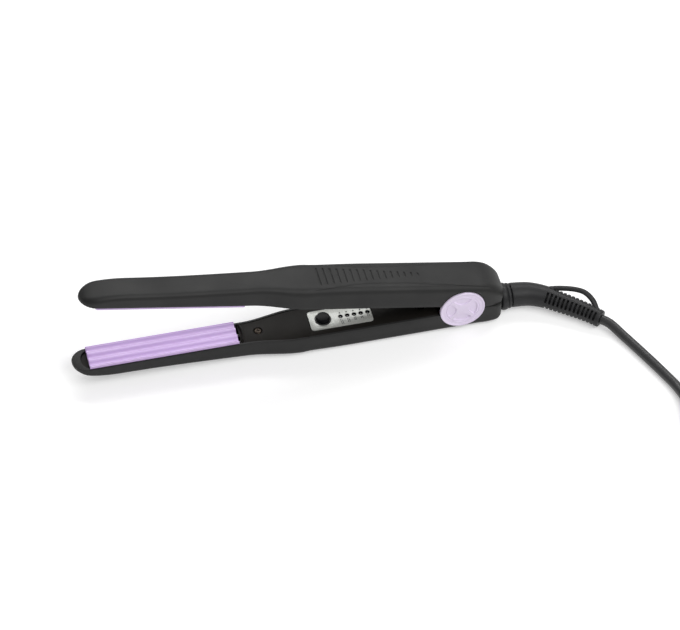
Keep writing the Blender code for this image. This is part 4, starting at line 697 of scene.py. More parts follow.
@dataclass(frozen=True)
class Arm:
    """One arm: its form, which both arms share, and its place in the row frame."""

    label: str
    side: int
    body: str
    rear: RearEnd
    centre_x: float = 0.1247
    floor: float = 0.0176
    pivot_x: float = 0.2257
    opening: float = math.radians(12.14)
    gap: float = 0.0003
    tip_x: float = -0.0096
    rear_x: float = 0.2513
    tip_half: float = 0.0090
    handle_half: float = 0.0130
    flare: Pair = (0.0950, 0.1267)
    tip_depth: float = 0.0113
    handle_depth: float = 0.0176
    rise: Pair = (0.0160, 0.1650)
    fall_start: float = 0.2340
    tip_round: float = 0.0100
    tip_roll: float = 0.0300
    tip_drop: float = 0.0088
    rear_share: float = 0.64
    rear_fillet: float = 0.0009
    tip_edge: float = 0.0032
    handle_edge: float = 0.0046
    rim_fillet: float = 0.0003
    wall: float = 0.0020
    rim_wall: float = 0.0013
    rim: float = 0.0023
    ledge: float = 0.0046
    cavity_tip_x: float = -0.0042
    cavity_round: float = 0.0060
    cavity_rear_x: float = 0.2405
    cavity_chamfer: float = 0.0025
    ear_radius: float = 0.0070
    crease_edge_y: float = 0.0106
    crease_y: float = 0.0069
    crease_in: Pair = (0.1290, 0.1640)
    crease_out: Pair = (0.1800, 0.2400)
    crease_starts: Pair = (0.1270, 0.1340)
    crease_stops: Pair = (0.2350, 0.2430)
    crease_step: float = 0.00045
    crease_half_width: float = 0.0003
    least_step: float = 0.00006

    def place(self, x: float, y: float, depth: float) -> Vector:
        """A point of this arm in the row frame, with the crimper open as in the photograph."""
        point = Vector((x, y, self.side * depth))
        if self.side > 0:
            pivot = Vector((self.pivot_x, 0, 0))
            point = Matrix.Rotation(self.opening, 3, "Y") @ (point - pivot) + pivot
        return point + Vector((-self.centre_x, 0, self.floor))

    def half(self, x: float) -> float:
        """Half the arm's width at a station, before its ends are rounded."""
        return mix(self.tip_half, self.handle_half, smooth(x, *self.flare))

    def outer(self, x: float) -> float:
        """Depth of the outer face, which rolls over at both ends."""
        rise = mix(self.tip_depth, self.handle_depth, smooth(x, *self.rise))
        fall = (self.handle_depth - self.rear.depth) * smooth(x, self.fall_start, self.rear_x)
        tip_roll = self.tip_drop * (1 - round_share(x - self.tip_x, self.tip_roll))
        rear_roll = self.rear.drop * (1 - round_share(self.rear_x - x, self.rear.roll_length))
        return rise - fall - tip_roll - rear_roll

    def rear_opening(self, x: float) -> float:
        """Share of the arm's width at a station near its rear end."""
        return mix(self.rear_share, 1.0, round_share(self.rear_x - x, self.rear.round_length))

    def rim_at(self, x: float) -> float:
        """Depth of the shell's rim. Behind the hinge the two rims slope apart."""
        if x <= self.pivot_x - self.ear_radius:
            return self.rim
        return self.gap / 2 + max(x - self.pivot_x, 0.0) * math.tan(self.opening / 2)

    def crease(self, x: float) -> Pair:
        """Distance of the moulded crease from the middle at a station, and the step down outside it."""
        inward = smooth(x, *self.crease_in) * (1 - smooth(x, *self.crease_out))
        fade = smooth(x, *self.crease_starts) * (1 - smooth(x, *self.crease_stops))
        return mix(self.crease_edge_y, self.crease_y, inward), self.crease_step * fade

    def section(self, x: float) -> list[Pair]:
        """Outline of the shell at a station, as (y, depth) corners from rim to rim over the outer face."""
        near_end = max(self.rear_fillet - (self.rear_x - x), 0.0)
        inset = self.rear_fillet - math.sqrt(self.rear_fillet**2 - near_end**2)
        half = self.half(x) * round_share(x - self.tip_x, self.tip_round) * self.rear_opening(x) - inset
        depth, rim = self.outer(x) - inset, self.rim_at(x)
        edge = mix(self.tip_edge, self.handle_edge, smooth(x, *self.flare))
        edge = min(edge, LARGE_SHARE * half, 0.7 * (depth - rim))
        flat, arc = half - edge, edge * math.pi / 2
        lip = min(self.rim_fillet, SMALL_SHARE * half, SMALL_SHARE * (depth - rim))
        wall = depth - edge - rim - lip
        crease, step = self.crease(x)
        if crease > flat:
            crease = flat + edge * math.asin(min((crease - flat) / edge, 0.9))
        crease = min(crease, LARGE_SHARE * (flat + arc))
        width = min(self.crease_half_width, SMALL_SHARE * crease)
        stops = [mix(0, crease - width, k / 8) for k in range(8)]
        stops += [crease + width * k for k in (-1.0, -0.5, 0.0, 0.5, 1.0)]
        stops += [mix(crease + width, flat + arc, k / 12) for k in range(1, 13)]
        stops += [flat + arc + wall * k / 5 for k in range(1, 6)]
        right = [(half - lip * (1 - math.cos(a)), rim + lip * (1 - math.sin(a))) for a in quarter(3)[:0:-1]]
        for stop in reversed(stops):
            bend = min(max(stop - flat, 0.0), arc) / edge
            down = max(stop - flat - arc, 0.0)
            out, high = math.sin(bend), math.cos(bend)
            sink = step * smooth(stop, crease - width, crease + width)
            sink *= 1 - smooth(down, 0.1 * wall, LARGE_SHARE * wall)
            y = min(stop, flat) + edge * out - out * sink
            right.append((y, depth - edge * (1 - high) - down - high * sink))
        return mirrored(right)

    def cavity(self, x: float, inset: float, top: float, deepest: float) -> list[Pair]:
        """Outline of the cavity, or with an inset what fits in it: a wide rebate over a narrower well."""
        opening = round_share(x - self.cavity_tip_x - inset, self.cavity_round) * self.rear_opening(x)
        rebate = (self.half(x) - self.rim_wall) * opening - inset
        well = (self.half(x) - self.wall) * opening - inset
        floor = min(self.outer(x) - self.wall - inset, deepest)
        ledge = self.ledge - inset
        bevel = min(self.cavity_chamfer, LARGE_SHARE * well, LARGE_SHARE * (floor - ledge))
        right = [(rebate, top), (rebate, ledge), (well, ledge)]
        right += [(well - bevel * (1 - math.cos(a)), floor - bevel * (1 - math.sin(a))) for a in quarter(4)]
        return mirrored(right)

    def stations(self, step: float = 0.0022) -> list[float]:
        """Stations along the shell, closer together where it rounds."""
        angles = [math.radians(a) for a in (3, 7, 12, 18, 25, 33, 42, 52, 63, 76)]
        wanted = [self.tip_x + self.tip_round * (1 - math.cos(a)) for a in angles]
        wanted += spaced(self.tip_x + self.tip_round, self.rear_x - self.rear.round_length, step)
        wanted += [self.rear_x - self.rear.round_length * (1 - math.cos(a)) for a in angles]
        wanted += [self.rear_x - self.rear_fillet * (1 - math.sin(a)) for a in quarter(5)]
        result: list[float] = []
        for x in sorted(wanted):
            if not result or x - result[-1] > self.least_step:
                result.append(x)
        return result

    def inner_stations(self, inset: float, end: float) -> list[float]:
        """Stations along the cavity or what fits in it, closer together at its rounded tip."""
        start = self.cavity_tip_x + inset
        angles = [math.radians(a) for a in (8, 16, 26, 38, 52, 68)]
        first = [start + self.cavity_round * (1 - math.cos(a)) for a in angles]
        return first + spaced(start + self.cavity_round, end, 0.0030)

    def ring(self, x: float, outline: Iterable[Pair]) -> list[Vector]:
        """An outline of (y, depth) corners at a station, in the row frame."""
        return [self.place(x, y, depth) for y, depth in outline]

    def across(self, axis: Axis, along: float, pair: Pair) -> Vector:
        """A point from its place along one axis and its other two coordinates, in order."""
        numbers = list(pair)
        numbers.insert(axis.value, along)
        return self.place(*numbers)

    def prism(self, outline: Sequence[Pair], start: float, end: float, axis: Axis = Axis.DEPTH) -> Solid:
        """A solid with that outline between two places along one of the arm's axes."""
        rings = [[self.across(axis, along, pair) for pair in outline] for along in (start, end)]
        return Solid().loft(rings)

    def turned(self, axis: Axis, centre: Triple, profile: Sequence[Pair], sides: int,
               closed: bool = False) -> Solid:
        """A turned solid. The profile holds (place along the axis, radius), the centre (x, y, depth)."""
        first, second = (value for place, value in enumerate(centre) if place != axis.value)
        rings = []
        for along, radius in profile:
            corners = ((first + a, second + b) for a, b in spokes(radius, sides))
            rings.append([self.across(axis, along, corner) for corner in corners])
        return Solid().loft(rings, closed)

    def rod(self, axis: Axis, centre: Triple, span: Pair, radius: float, sides: int) -> Solid:
        """A round rod between two places along one of the arm's axes."""
        return self.turned(axis, centre, [(along, radius) for along in span], sides)


LOWER = Arm("lower", -1, "lower_arm", RearEnd(0.0169, 0.0045, 0.0100, 0.0018))
UPPER = Arm("upper", 1, "upper_arm", RearEnd(0.0146, 0.0125, 0.0125, 0.0055))


def ready(piece: bpy.types.Object, body: str, slot: str, *nodes: str) -> bpy.types.Object:
    """Args:
        piece: the piece.
        body: the body that it rides on.
        slot: the record's material slot; not used.
        nodes: the frame's nodes that it stands for.

    Returns:
        The piece.
    """
    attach(piece, body)
    if nodes:
        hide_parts(*nodes)
    LOG.info("made %s", piece.name)
    return piece


@dataclass
class Shell:
    """An arm's outer casing, with its cavity, posts, hinge ears and cap windows."""

    arm: Arm
    screw_x: float = 0.1030
    post_radius: float = 0.0028
    post_bore: float = 0.0013
    post_flare: Pair = (0.0015, 0.0008)
    screw_bore: Pair = (0.0043, 0.0106)
    board_bore: Pair = (0.0102, 0.0147)
    ear_y: float = 0.0086
    ear_thickness: float = 0.0020
    ear_clearance: float = 0.0004
    ear_root: float = 0.8
    pin_bore: float = 0.0025
    pin_reach: float = 0.01075
    window_radius: float = 0.0141
    window_inner_y: float = 0.0109
    board_post_xs: Pair = (0.1335, 0.1785)
    board_post_top: float = 0.0105
    swivel_depth: float = 0.0091
    neck_bore: float = 0.0035
    neck_span: Pair = (0.2385, 0.2533)
    groove_count: int = 16
    groove_xs: Pair = (0.1339, 0.1962)
    groove_halves: Pair = (0.0073, 0.0012)
    groove_half_width: float = 0.00055
    groove_sink: float = 0.00042

    def build(self, tree: GeometryTree) -> bpy.types.Object:
        """Makes the casing.

        Args:
            tree: the tree that repeats a shape along a line.

        Returns:
            The casing's object.
        """
        arm = self.arm
        body = Solid().loft([arm.ring(x, arm.section(x)) for x in arm.stations()])
        body = body.piece(f"{arm.label}_casing", SOFT_TOUCH)
        places = arm.inner_stations(0, arm.cavity_rear_x)
        hollow = Solid().loft([arm.ring(x, arm.cavity(x, 0, -arm.ledge, arm.handle_depth)) for x in places])
        carve(body, [hollow.piece("hollow", SOFT_TOUCH), *self.windows()])
        carve(body, [*self.posts(), *self.ears()], "UNION")
        carve(body, self.bores())
        if arm.side > 0:
            carve(body, [self.grooves(tree)])
        return ready(ease(body), arm.body, "soft_touch_black", f"{arm.label}_shell")

    def windows(self) -> list[bpy.types.Object]:
        """Cutters for the round windows in which the hinge caps sit."""
        reach, centre = 2 * self.arm.handle_half, (self.arm.pivot_x, 0, 0)
        spans = [(sign * self.window_inner_y, sign * reach) for sign in (-1, 1)]
        rods = [self.arm.rod(Axis.Y, centre, span, self.window_radius, 96) for span in spans]
        return [rod.piece("window", SOFT_TOUCH) for rod in rods]

    def posts(self) -> list[bpy.types.Object]:
        """The screw posts on the casing's floor."""
        arm, radius, (height, spread) = self.arm, self.post_radius, self.post_flare
        places = [(self.screw_x, arm.ledge)]
        if arm.side < 0:
            places += [(x, self.board_post_top) for x in self.board_post_xs]
        result = []
        for x, top in places:
            root = arm.outer(x) - arm.wall / 2
            profile = [(top, radius), (root - height, radius), (root, radius + spread)]
            result.append(arm.turned(Axis.DEPTH, (x, 0, 0), profile, 28).piece("post", SOFT_TOUCH))
        return result

    def ears(self) -> list[bpy.types.Object]:
        """The two hinge ears."""
        arm, radius = self.arm, self.arm.ear_radius
        inner = self.ear_y if arm.side < 0 else self.ear_y - self.ear_thickness - self.ear_clearance
        angles = [math.pi * index / 28 for index in range(29)]
        head = [(arm.pivot_x + radius * math.cos(a), -radius * math.sin(a)) for a in angles]
        rear, front = [(x, arm.outer(x) - self.ear_root * arm.wall) for x in (head[0][0], head[-1][0])]
        outline = [rear, *head, front]
        sides = ((sign * inner, sign * (inner + self.ear_thickness)) for sign in (-1, 1))
        return [arm.prism(outline, start, end, Axis.Y).piece("ear", SOFT_TOUCH) for start, end in sides]

    def bores(self) -> list[bpy.types.Object]:
        """Cutters for the hinge pin, the screws and the swivel's neck."""
        arm, screw_radius = self.arm, self.post_bore
        rods = [
            arm.rod(Axis.Y, (arm.pivot_x, 0, 0), (-self.pin_reach, self.pin_reach), self.pin_bore, 40),
            arm.rod(Axis.DEPTH, (self.screw_x, 0, 0), self.screw_bore, screw_radius, 20),
        ]
        if arm.side < 0:
            rods.append(arm.rod(Axis.X, (0, 0, self.swivel_depth), self.neck_span, self.neck_bore, 48))
            for x in self.board_post_xs:
                rods.append(arm.rod(Axis.DEPTH, (x, 0, 0), self.board_bore, screw_radius, 20))
        return [rod.piece("bore", SOFT_TOUCH) for rod in rods]

    def grooves(self, tree: GeometryTree) -> bpy.types.Object:
        """The row of cutters for the grip grooves, shorter towards the hinge."""
        arm, width = self.arm, self.groove_half_width
        stations = spaced(*self.groove_xs, 0.0015)
        line = [arm.place(x, 0, arm.outer(x) + width - self.groove_sink) for x in stations]
        first, last = self.groove_halves
        shares = [math.sin(angle) for angle in quarter(5)[1:]]
        ends = [(-1 + (1 - share) * width / first, share) for share in shares]
        ends += [(-at, share) for at, share in reversed(ends)]
        rings = [[Vector((at, a * share, b * share)) for a, b in circle(width, 16)] for at, share in ends]
        shape = Solid().loft(rings).piece("groove_shape", SOFT_TOUCH)
        scales = ((first, 1, 1), (last, 1, 1))
        return row_of(tree, "grooves", SOFT_TOUCH, line, shape, self.groove_count, scales)


@dataclass
class InnerCover:
    """The cover of an arm's inner face, with a lip behind the plate, a screw seat and the spring's cup."""

    arm: Arm
    xs: Pair = (0.0916, 0.2110)
    top: float = 0.0025
    inset: float = 0.0016
    fillet: float = 0.0003
    lip_half: float = 0.0072
    lip_top: float = 0.0010
    lip_width: float = 0.0014
    lip_bulge: float = 0.0012
    lip_offset: float = 0.00005
    lip_round: float = 0.0014
    screw_x: float = 0.1030
    seat_depth: float = 0.0037
    seat_radius: float = 0.0026
    seat_edge: float = 0.0003
    hole_radius: float = 0.0013
    cup_x: float = 0.2030
    cup_radius: float = 0.0052
    cup_depth: float = 0.0080
    cup_wall: float = 0.0010

    def build(self, controls: Optional["ControlStrip"]) -> bpy.types.Object:
        """Makes the cover.

        Args:
            controls: the control strip that it is open for, if it carries one.

        Returns:
            The cover's object.
        """
        arm, bottom = self.arm, self.arm.ledge - self.arm.gap
        rings = []
        for x in spaced(*self.xs, 0.0020):
            half, fillet = arm.half(x) - self.inset, self.fillet
            right = []
            for a in quarter(3):
                right.append((half - fillet * (1 - math.sin(a)), self.top + fillet * (1 - math.cos(a))))
            rings.append(arm.ring(x, mirrored([*right, (half, bottom)])))
        cover = Solid().loft(rings).piece(f"{arm.label}_cover", INNER)
        centre, wall = (self.cup_x, 0, 0), self.cup_wall
        span = (self.top + arm.gap, self.cup_depth + wall)
        cup = arm.rod(Axis.DEPTH, centre, span, self.cup_radius + wall, 48).piece("cup", INNER)
        carve(cover, [self.lip(), cup], "UNION")
        wide, edge = self.seat_radius + self.seat_edge, self.top + self.seat_edge
        seat = [(0.0, wide), (self.top, wide), (edge, self.seat_radius)]
        seat += [(self.seat_depth, radius) for radius in (self.seat_radius, self.hole_radius)]
        seat.append((arm.ledge, self.hole_radius))
        tools = [
            arm.rod(Axis.DEPTH, centre, (0.0, self.cup_depth), self.cup_radius, 48),
            arm.turned(Axis.DEPTH, (self.screw_x, 0, 0), seat, 40),
        ]
        cutters = [tool.piece("hole", INNER) for tool in tools]
        carve(cover, cutters + (controls.openings() if controls else []))
        return ready(ease(cover), arm.body, "inner_black", f"{arm.label}_inner_cover")

    def lip(self) -> bpy.types.Object:
        """The raised lip that bulges away from the plate's end."""
        arm, rings, root = self.arm, [], self.top + self.arm.gap
        for y in spaced(-self.lip_half, self.lip_half, 0.0006):
            share, width = y / self.lip_half, self.lip_width / 2
            middle = self.xs[0] + width + self.lip_offset + self.lip_bulge * (1 - share * share)
            high = mix(self.top, self.lip_top, round_share(self.lip_half - abs(y), self.lip_round))
            ring = [(middle - width, root)]
            for a in quarter(4):
                ring.append((middle - width * math.cos(a), mix(self.top, high, mix(0.4, 1, math.sin(a)))))
            for a in quarter(4)[1:]:
                ring.append((middle + width * math.sin(a), mix(self.top, high, mix(0.4, 1, math.cos(a)))))
            ring.append((middle + width, root))
            rings.append([arm.place(x, y, depth) for x, depth in ring])
        return Solid().loft(rings).piece("lip", INNER)


@dataclass
class CrimpPlate:
    """A heated plate whose ribs mesh with the other plate's."""

    arm: Arm
    length: float = 0.0900
    width: float = 0.0164
    ribs: int = 3
    rib_depth: float = 0.0017
    flatness: float = 0.7
    closed_gap: float = 0.0005
    edge_depth: float = 0.0020
    body_half: float = 0.0070
    body_depth: float = 0.0032
    end_fillet: float = 0.0004
    end_length: float = 0.0015
    leg_ys: Pair = (0.0042, 0.0052)
    leg_xs: Pair = (0.0110, 0.0790)
    leg_end: float = 0.0062

    def build(self, tree: GeometryTree) -> bpy.types.Object:
        """Makes the plate.

        Args:
            tree: the tree made by rib_tree.

        Returns:
            The plate's object.
        """
        arm, half = self.arm, self.width / 2
        face = 0.0 if arm.side < 0 else self.closed_gap
        ys = spaced(half, -half, self.width / 96)
        ends = [self.end_fillet * (1 - math.cos(a)) for a in quarter(4)]
        middle = spaced(self.end_length, self.length - self.end_length, 0.003)
        edge, body = self.edge_depth, self.body_half
        under = [(half, edge), (body, edge), (body, self.body_depth)]
        sides = [(-y, depth) for y, depth in under] + list(reversed(under))
        rings = []
        for x in [*ends, *middle, *(self.length - x for x in reversed(ends))]:
            near_end = max(self.end_fillet - min(x, self.length - x), 0.0)
            inset = self.end_fillet - math.sqrt(self.end_fillet**2 - near_end**2)
            rings.append(arm.ring(x, [(y, face + inset) for y in ys] + sides))
        plate = Solid().loft(rings).piece(f"{arm.label}_plate", PLATE)
        marks = [float(place % len(rings[0]) < len(ys)) for place in range(len(plate.data.vertices))]
        plate.data.attributes.new("ribbed", "FLOAT", "POINT").data.foreach_set("value", marks)
        values = {
            "Rib Pitch": self.width / self.ribs,
            "Rib Depth": -arm.side * self.rib_depth,
            "Flatness": self.flatness,
            "Depth Direction": tuple(arm.place(0, 0, 1) - arm.place(0, 0, 0)),
        }
        tree.run(plate, PLATE, values)
        legs = []
        for sign in (-1, 1):
            (x0, x1), (y0, y1) = self.leg_xs, (sign * y for y in self.leg_ys)
            outline = [(x0, y0), (x1, y0), (x1, y1), (x0, y1)]
            legs.append(arm.prism(outline, self.body_depth - arm.gap, self.leg_end).piece("leg", PLATE))
        carve(plate, legs, "UNION")
        return ready(ease(plate, 38.0), arm.body, "lilac_plate", f"{arm.label}_crimp_plate")


def rib_tree() -> GeometryTree:
    """A tree that presses even ribs along x into the marked points, rounder or flatter on top."""
    tree = GeometryTree("crimp_ribs", {
        "Rib Pitch": (FLOAT, 0.005),
        "Rib Depth": (FLOAT, 0.001),
        "Flatness": (FLOAT, 0.0),
        "Depth Direction": (VECTOR, (0.0, 0.0, -1.0)),
    })
    graph, given = tree.graph, tree.given
    place = graph.node("GeometryNodeInputPosition").outputs[0]
    across = graph.node("ShaderNodeSeparateXYZ", {0: place}).outputs[1]
    angle = graph.math("MULTIPLY", graph.math("DIVIDE", across, given["Rib Pitch"]), 2 * math.pi)
    even = graph.math("MULTIPLY_ADD", graph.math("COSINE", angle), 0.5, 0.5)
    flat = graph.node("ShaderNodeMapRange", {0: even}, interpolation_type="SMOOTHSTEP").outputs[0]
    share = graph.node("ShaderNodeMix", {0: given["Flatness"], 2: even, 3: flat}).outputs[0]
    mark = graph.node("GeometryNodeInputNamedAttribute", {"Name": "ribbed"}, data_type="FLOAT")
    depth = graph.math("MULTIPLY", share, mark.outputs["Attribute"])
    depth = graph.math("MULTIPLY", depth, given["Rib Depth"])
    shift = {0: given["Depth Direction"], "Scale": depth}
    moved = {
        "Geometry": given["Geometry"],
        "Offset": graph.node("ShaderNodeVectorMath", shift, operation="SCALE").outputs[0],
    }
    tree.end(graph.node("GeometryNodeSetPosition", moved).outputs[0])
    return tree


@dataclass
class PlateCarrier:
    """The heat-resistant tray that holds a plate's heater in the casing."""

    arm: Arm
    top: float = 0.0035
    bottom: float = 0.0092
    end_x: float = 0.0913
    pocket_xs: Pair = (0.0104, 0.0916)
    pocket_half: float = 0.0056
    pocket_depths: Pair = (0.0032, 0.0076)

    def build(self) -> bpy.types.Object:
        """Makes the tray."""
        arm = self.arm
        stations = arm.inner_stations(arm.gap, self.end_x)
        rings = [arm.ring(x, arm.cavity(x, arm.gap, self.top, self.bottom)) for x in stations]
        tray = Solid().loft(rings).piece(f"{arm.label}_tray", INNER)
        (x0, x1), half = self.pocket_xs, self.pocket_half
        pocket = arm.prism([(x0, -half), (x1, -half), (x1, half), (x0, half)], *self.pocket_depths)
        carve(tray, [pocket.piece("pocket", INNER)])
        return ready(ease(tray), arm.body, "inner_black", f"{arm.label}_plate_carrier")


@dataclass
class CoverScrew:
    """The cross-recessed screw that holds an inner cover."""

    arm: Arm
    x: float = 0.1030
    seat: float = 0.0034
    head_radius: float = 0.0023
    head_height: float = 0.0010
    shank_radius: float = 0.0010
    length: float = 0.0066
    round_height: float = 0.0006
    point: float = 0.0001
    slot_half: float = 0.0014
    slot_width: float = 0.00035
    slot_depth: float = 0.0007
    slot_taper: float = 0.55
    slot_start: float = -0.0002

    def build(self) -> bpy.types.Object:
        """Makes the screw."""
        arm, head, shank = self.arm, self.head_radius, self.shank_radius
        top, end = self.seat - self.head_height, self.seat + self.length
        profile = [(top, 0.0)]
        for a in quarter(6):
            profile.append((top + self.round_height * (1 - math.cos(a)), head * (0.5 + 0.5 * math.sin(a))))
        profile += [(self.seat, head), (self.seat, shank), (end, shank), (end + self.point, 0.0)]
        screw = arm.turned(Axis.DEPTH, (self.x, 0, 0), profile, 40).piece(f"{arm.label}_screw", SCREW)
        tools = []
        for wide, long in ((self.slot_width, self.slot_half), (self.slot_half, self.slot_width)):
            rings = []
            for depth, share in ((top + self.slot_start, 1.0), (top + self.slot_depth, self.slot_taper)):
                a, b = (wide * (share if wide > long else 1), long * (share if long > wide else 1))
                corners = ((-a, -b), (a, -b), (a, b), (-a, b))
                rings.append([arm.place(self.x + x, y, depth) for x, y in corners])
            tools.append(Solid().loft(rings).piece("slot", SCREW))
        carve(screw, tools)
        return ready(ease(screw), arm.body, "dark_screw", f"{arm.label}_cover_screw")


@dataclass
class HingeCap:
    """A round cap over the pin's end, with a rounded rim, a fine ring and a star between four petals."""

    label: str
    sign: int
    arm: Arm = LOWER
    radius: float = 0.0138
    outer_y: float = 0.01353
    thickness: float = 0.00193
    hub_depth: float = 0.0011
    bore: float = 0.0025
    edge: float = 0.0005
    rim_width: float = 0.0013
    rim_height: float = 0.00055
    ring: Pair = (0.0099, 0.0105)
    ring_depth: float = 0.0003
    petal_outer: float = 0.0092
    petal_inner: float = 0.0038
    petal_angle: float = math.radians(37)
    petal_depth: float = 0.0007
    petal_margin: float = 0.0002
    petal_spread: float = 1.6
    petal_shrink: Pair = (0.00042, 0.00022)
    petal_fillet: float = 0.00012
    petal_flare: Pair = (0.0006, 0.0002)
    dish: Pair = (0.00005, 0.00008)

    def build(self) -> bpy.types.Object:
        """Makes the cap."""
        inner, face = self.outer_y - self.thickness, self.outer_y - self.rim_height
        hub, edge, (low, high) = inner + self.hub_depth, self.edge, self.ring
        profile = [(hub, 0.0), (hub, self.bore), (inner, self.bore), (inner, self.radius)]
        for a in quarter(5):
            rounding = (edge * (1 - math.sin(a)), edge * (1 - math.cos(a)))
            profile.append((self.outer_y - rounding[0], self.radius - rounding[1]))
        start = self.radius - edge
        shares = [k / 6 for k in range(7)]
        for s in shares[1:]:
            profile.append((mix(self.outer_y, face, smooth(s, 0, 1)), start - s * self.rim_width))
        profile += [(face - self.ring_depth * math.sin(math.pi * s), mix(high, low, s)) for s in shares]
        profile.append((face, self.petal_outer + self.petal_margin))
        profile += [(face + sink, radius) for sink, radius in zip(self.dish, (self.petal_inner, 0.0))]
        profile = [(self.sign * along, radius) for along, radius in profile]
        cap = self.arm.turned(Axis.Y, (self.arm.pivot_x, 0, 0), profile, 128)
        cap = cap.piece(f"{self.label}_cap", CAP)
        carve(cap, [self.petal(index * math.pi / 2, face) for index in range(4)])
        return ready(ease(cap, 25.0), self.arm.body, "lilac_cap", f"hinge_cap_{self.label}")

    def petal(self, direction: float, face: float) -> bpy.types.Object:
        """Cutter for one petal-shaped recess with sloping sides."""
        c, s = math.cos(direction), math.sin(direction)
        floor, (bottom, edge), (reach, flare) = self.petal_depth, self.petal_shrink, self.petal_flare
        steps = ((floor, -bottom), (floor - self.petal_fillet, -edge), (0.0, 0.0), (-reach, flare))
        rings = []
        for down, grow in steps:
            y, outline = self.sign * (face - down), self.petal_outline(grow)
            corners = ((self.arm.pivot_x + c * a - s * b, y, s * a + c * b) for a, b in outline)
            rings.append([self.arm.place(*corner) for corner in corners])
        return Solid().loft(rings).piece("petal", CAP)

    def petal_outline(self, grow: float) -> list[Pair]:
        """Leaf outline along x, grown or shrunk by that much."""
        outer, inner = self.petal_outer + grow, self.petal_inner - grow
        angle = self.petal_angle + grow / self.petal_outer * self.petal_spread
        end, side = outer * math.cos(angle), outer * math.sin(angle)
        shares = [index / 12 - 1 for index in range(25)]
        arc = [(outer * math.cos(s * angle), outer * math.sin(s * angle)) for s in shares]
        return arc + [(mix(inner, end, s * s), side * s) for s in reversed(shares[1:-1])]


# The control strip


def soft_box(xs: Pair, half: float, corner: float, steps: int = 8) -> list[Pair]:
    """Corners of a rectangle with rounded corners, between two stations and half as wide as given."""
    (x0, x1), y = xs, half - corner
    centres = [(x1 - corner, y), (x0 + corner, y), (x0 + corner, -y), (x1 - corner, -y)]
    points = []
    for index, (a, b) in enumerate(centres):
        for angle in quarter(steps):
            turn = angle + index * math.pi / 2
            points.append((a + corner * math.cos(turn), b + corner * math.sin(turn)))
    return points


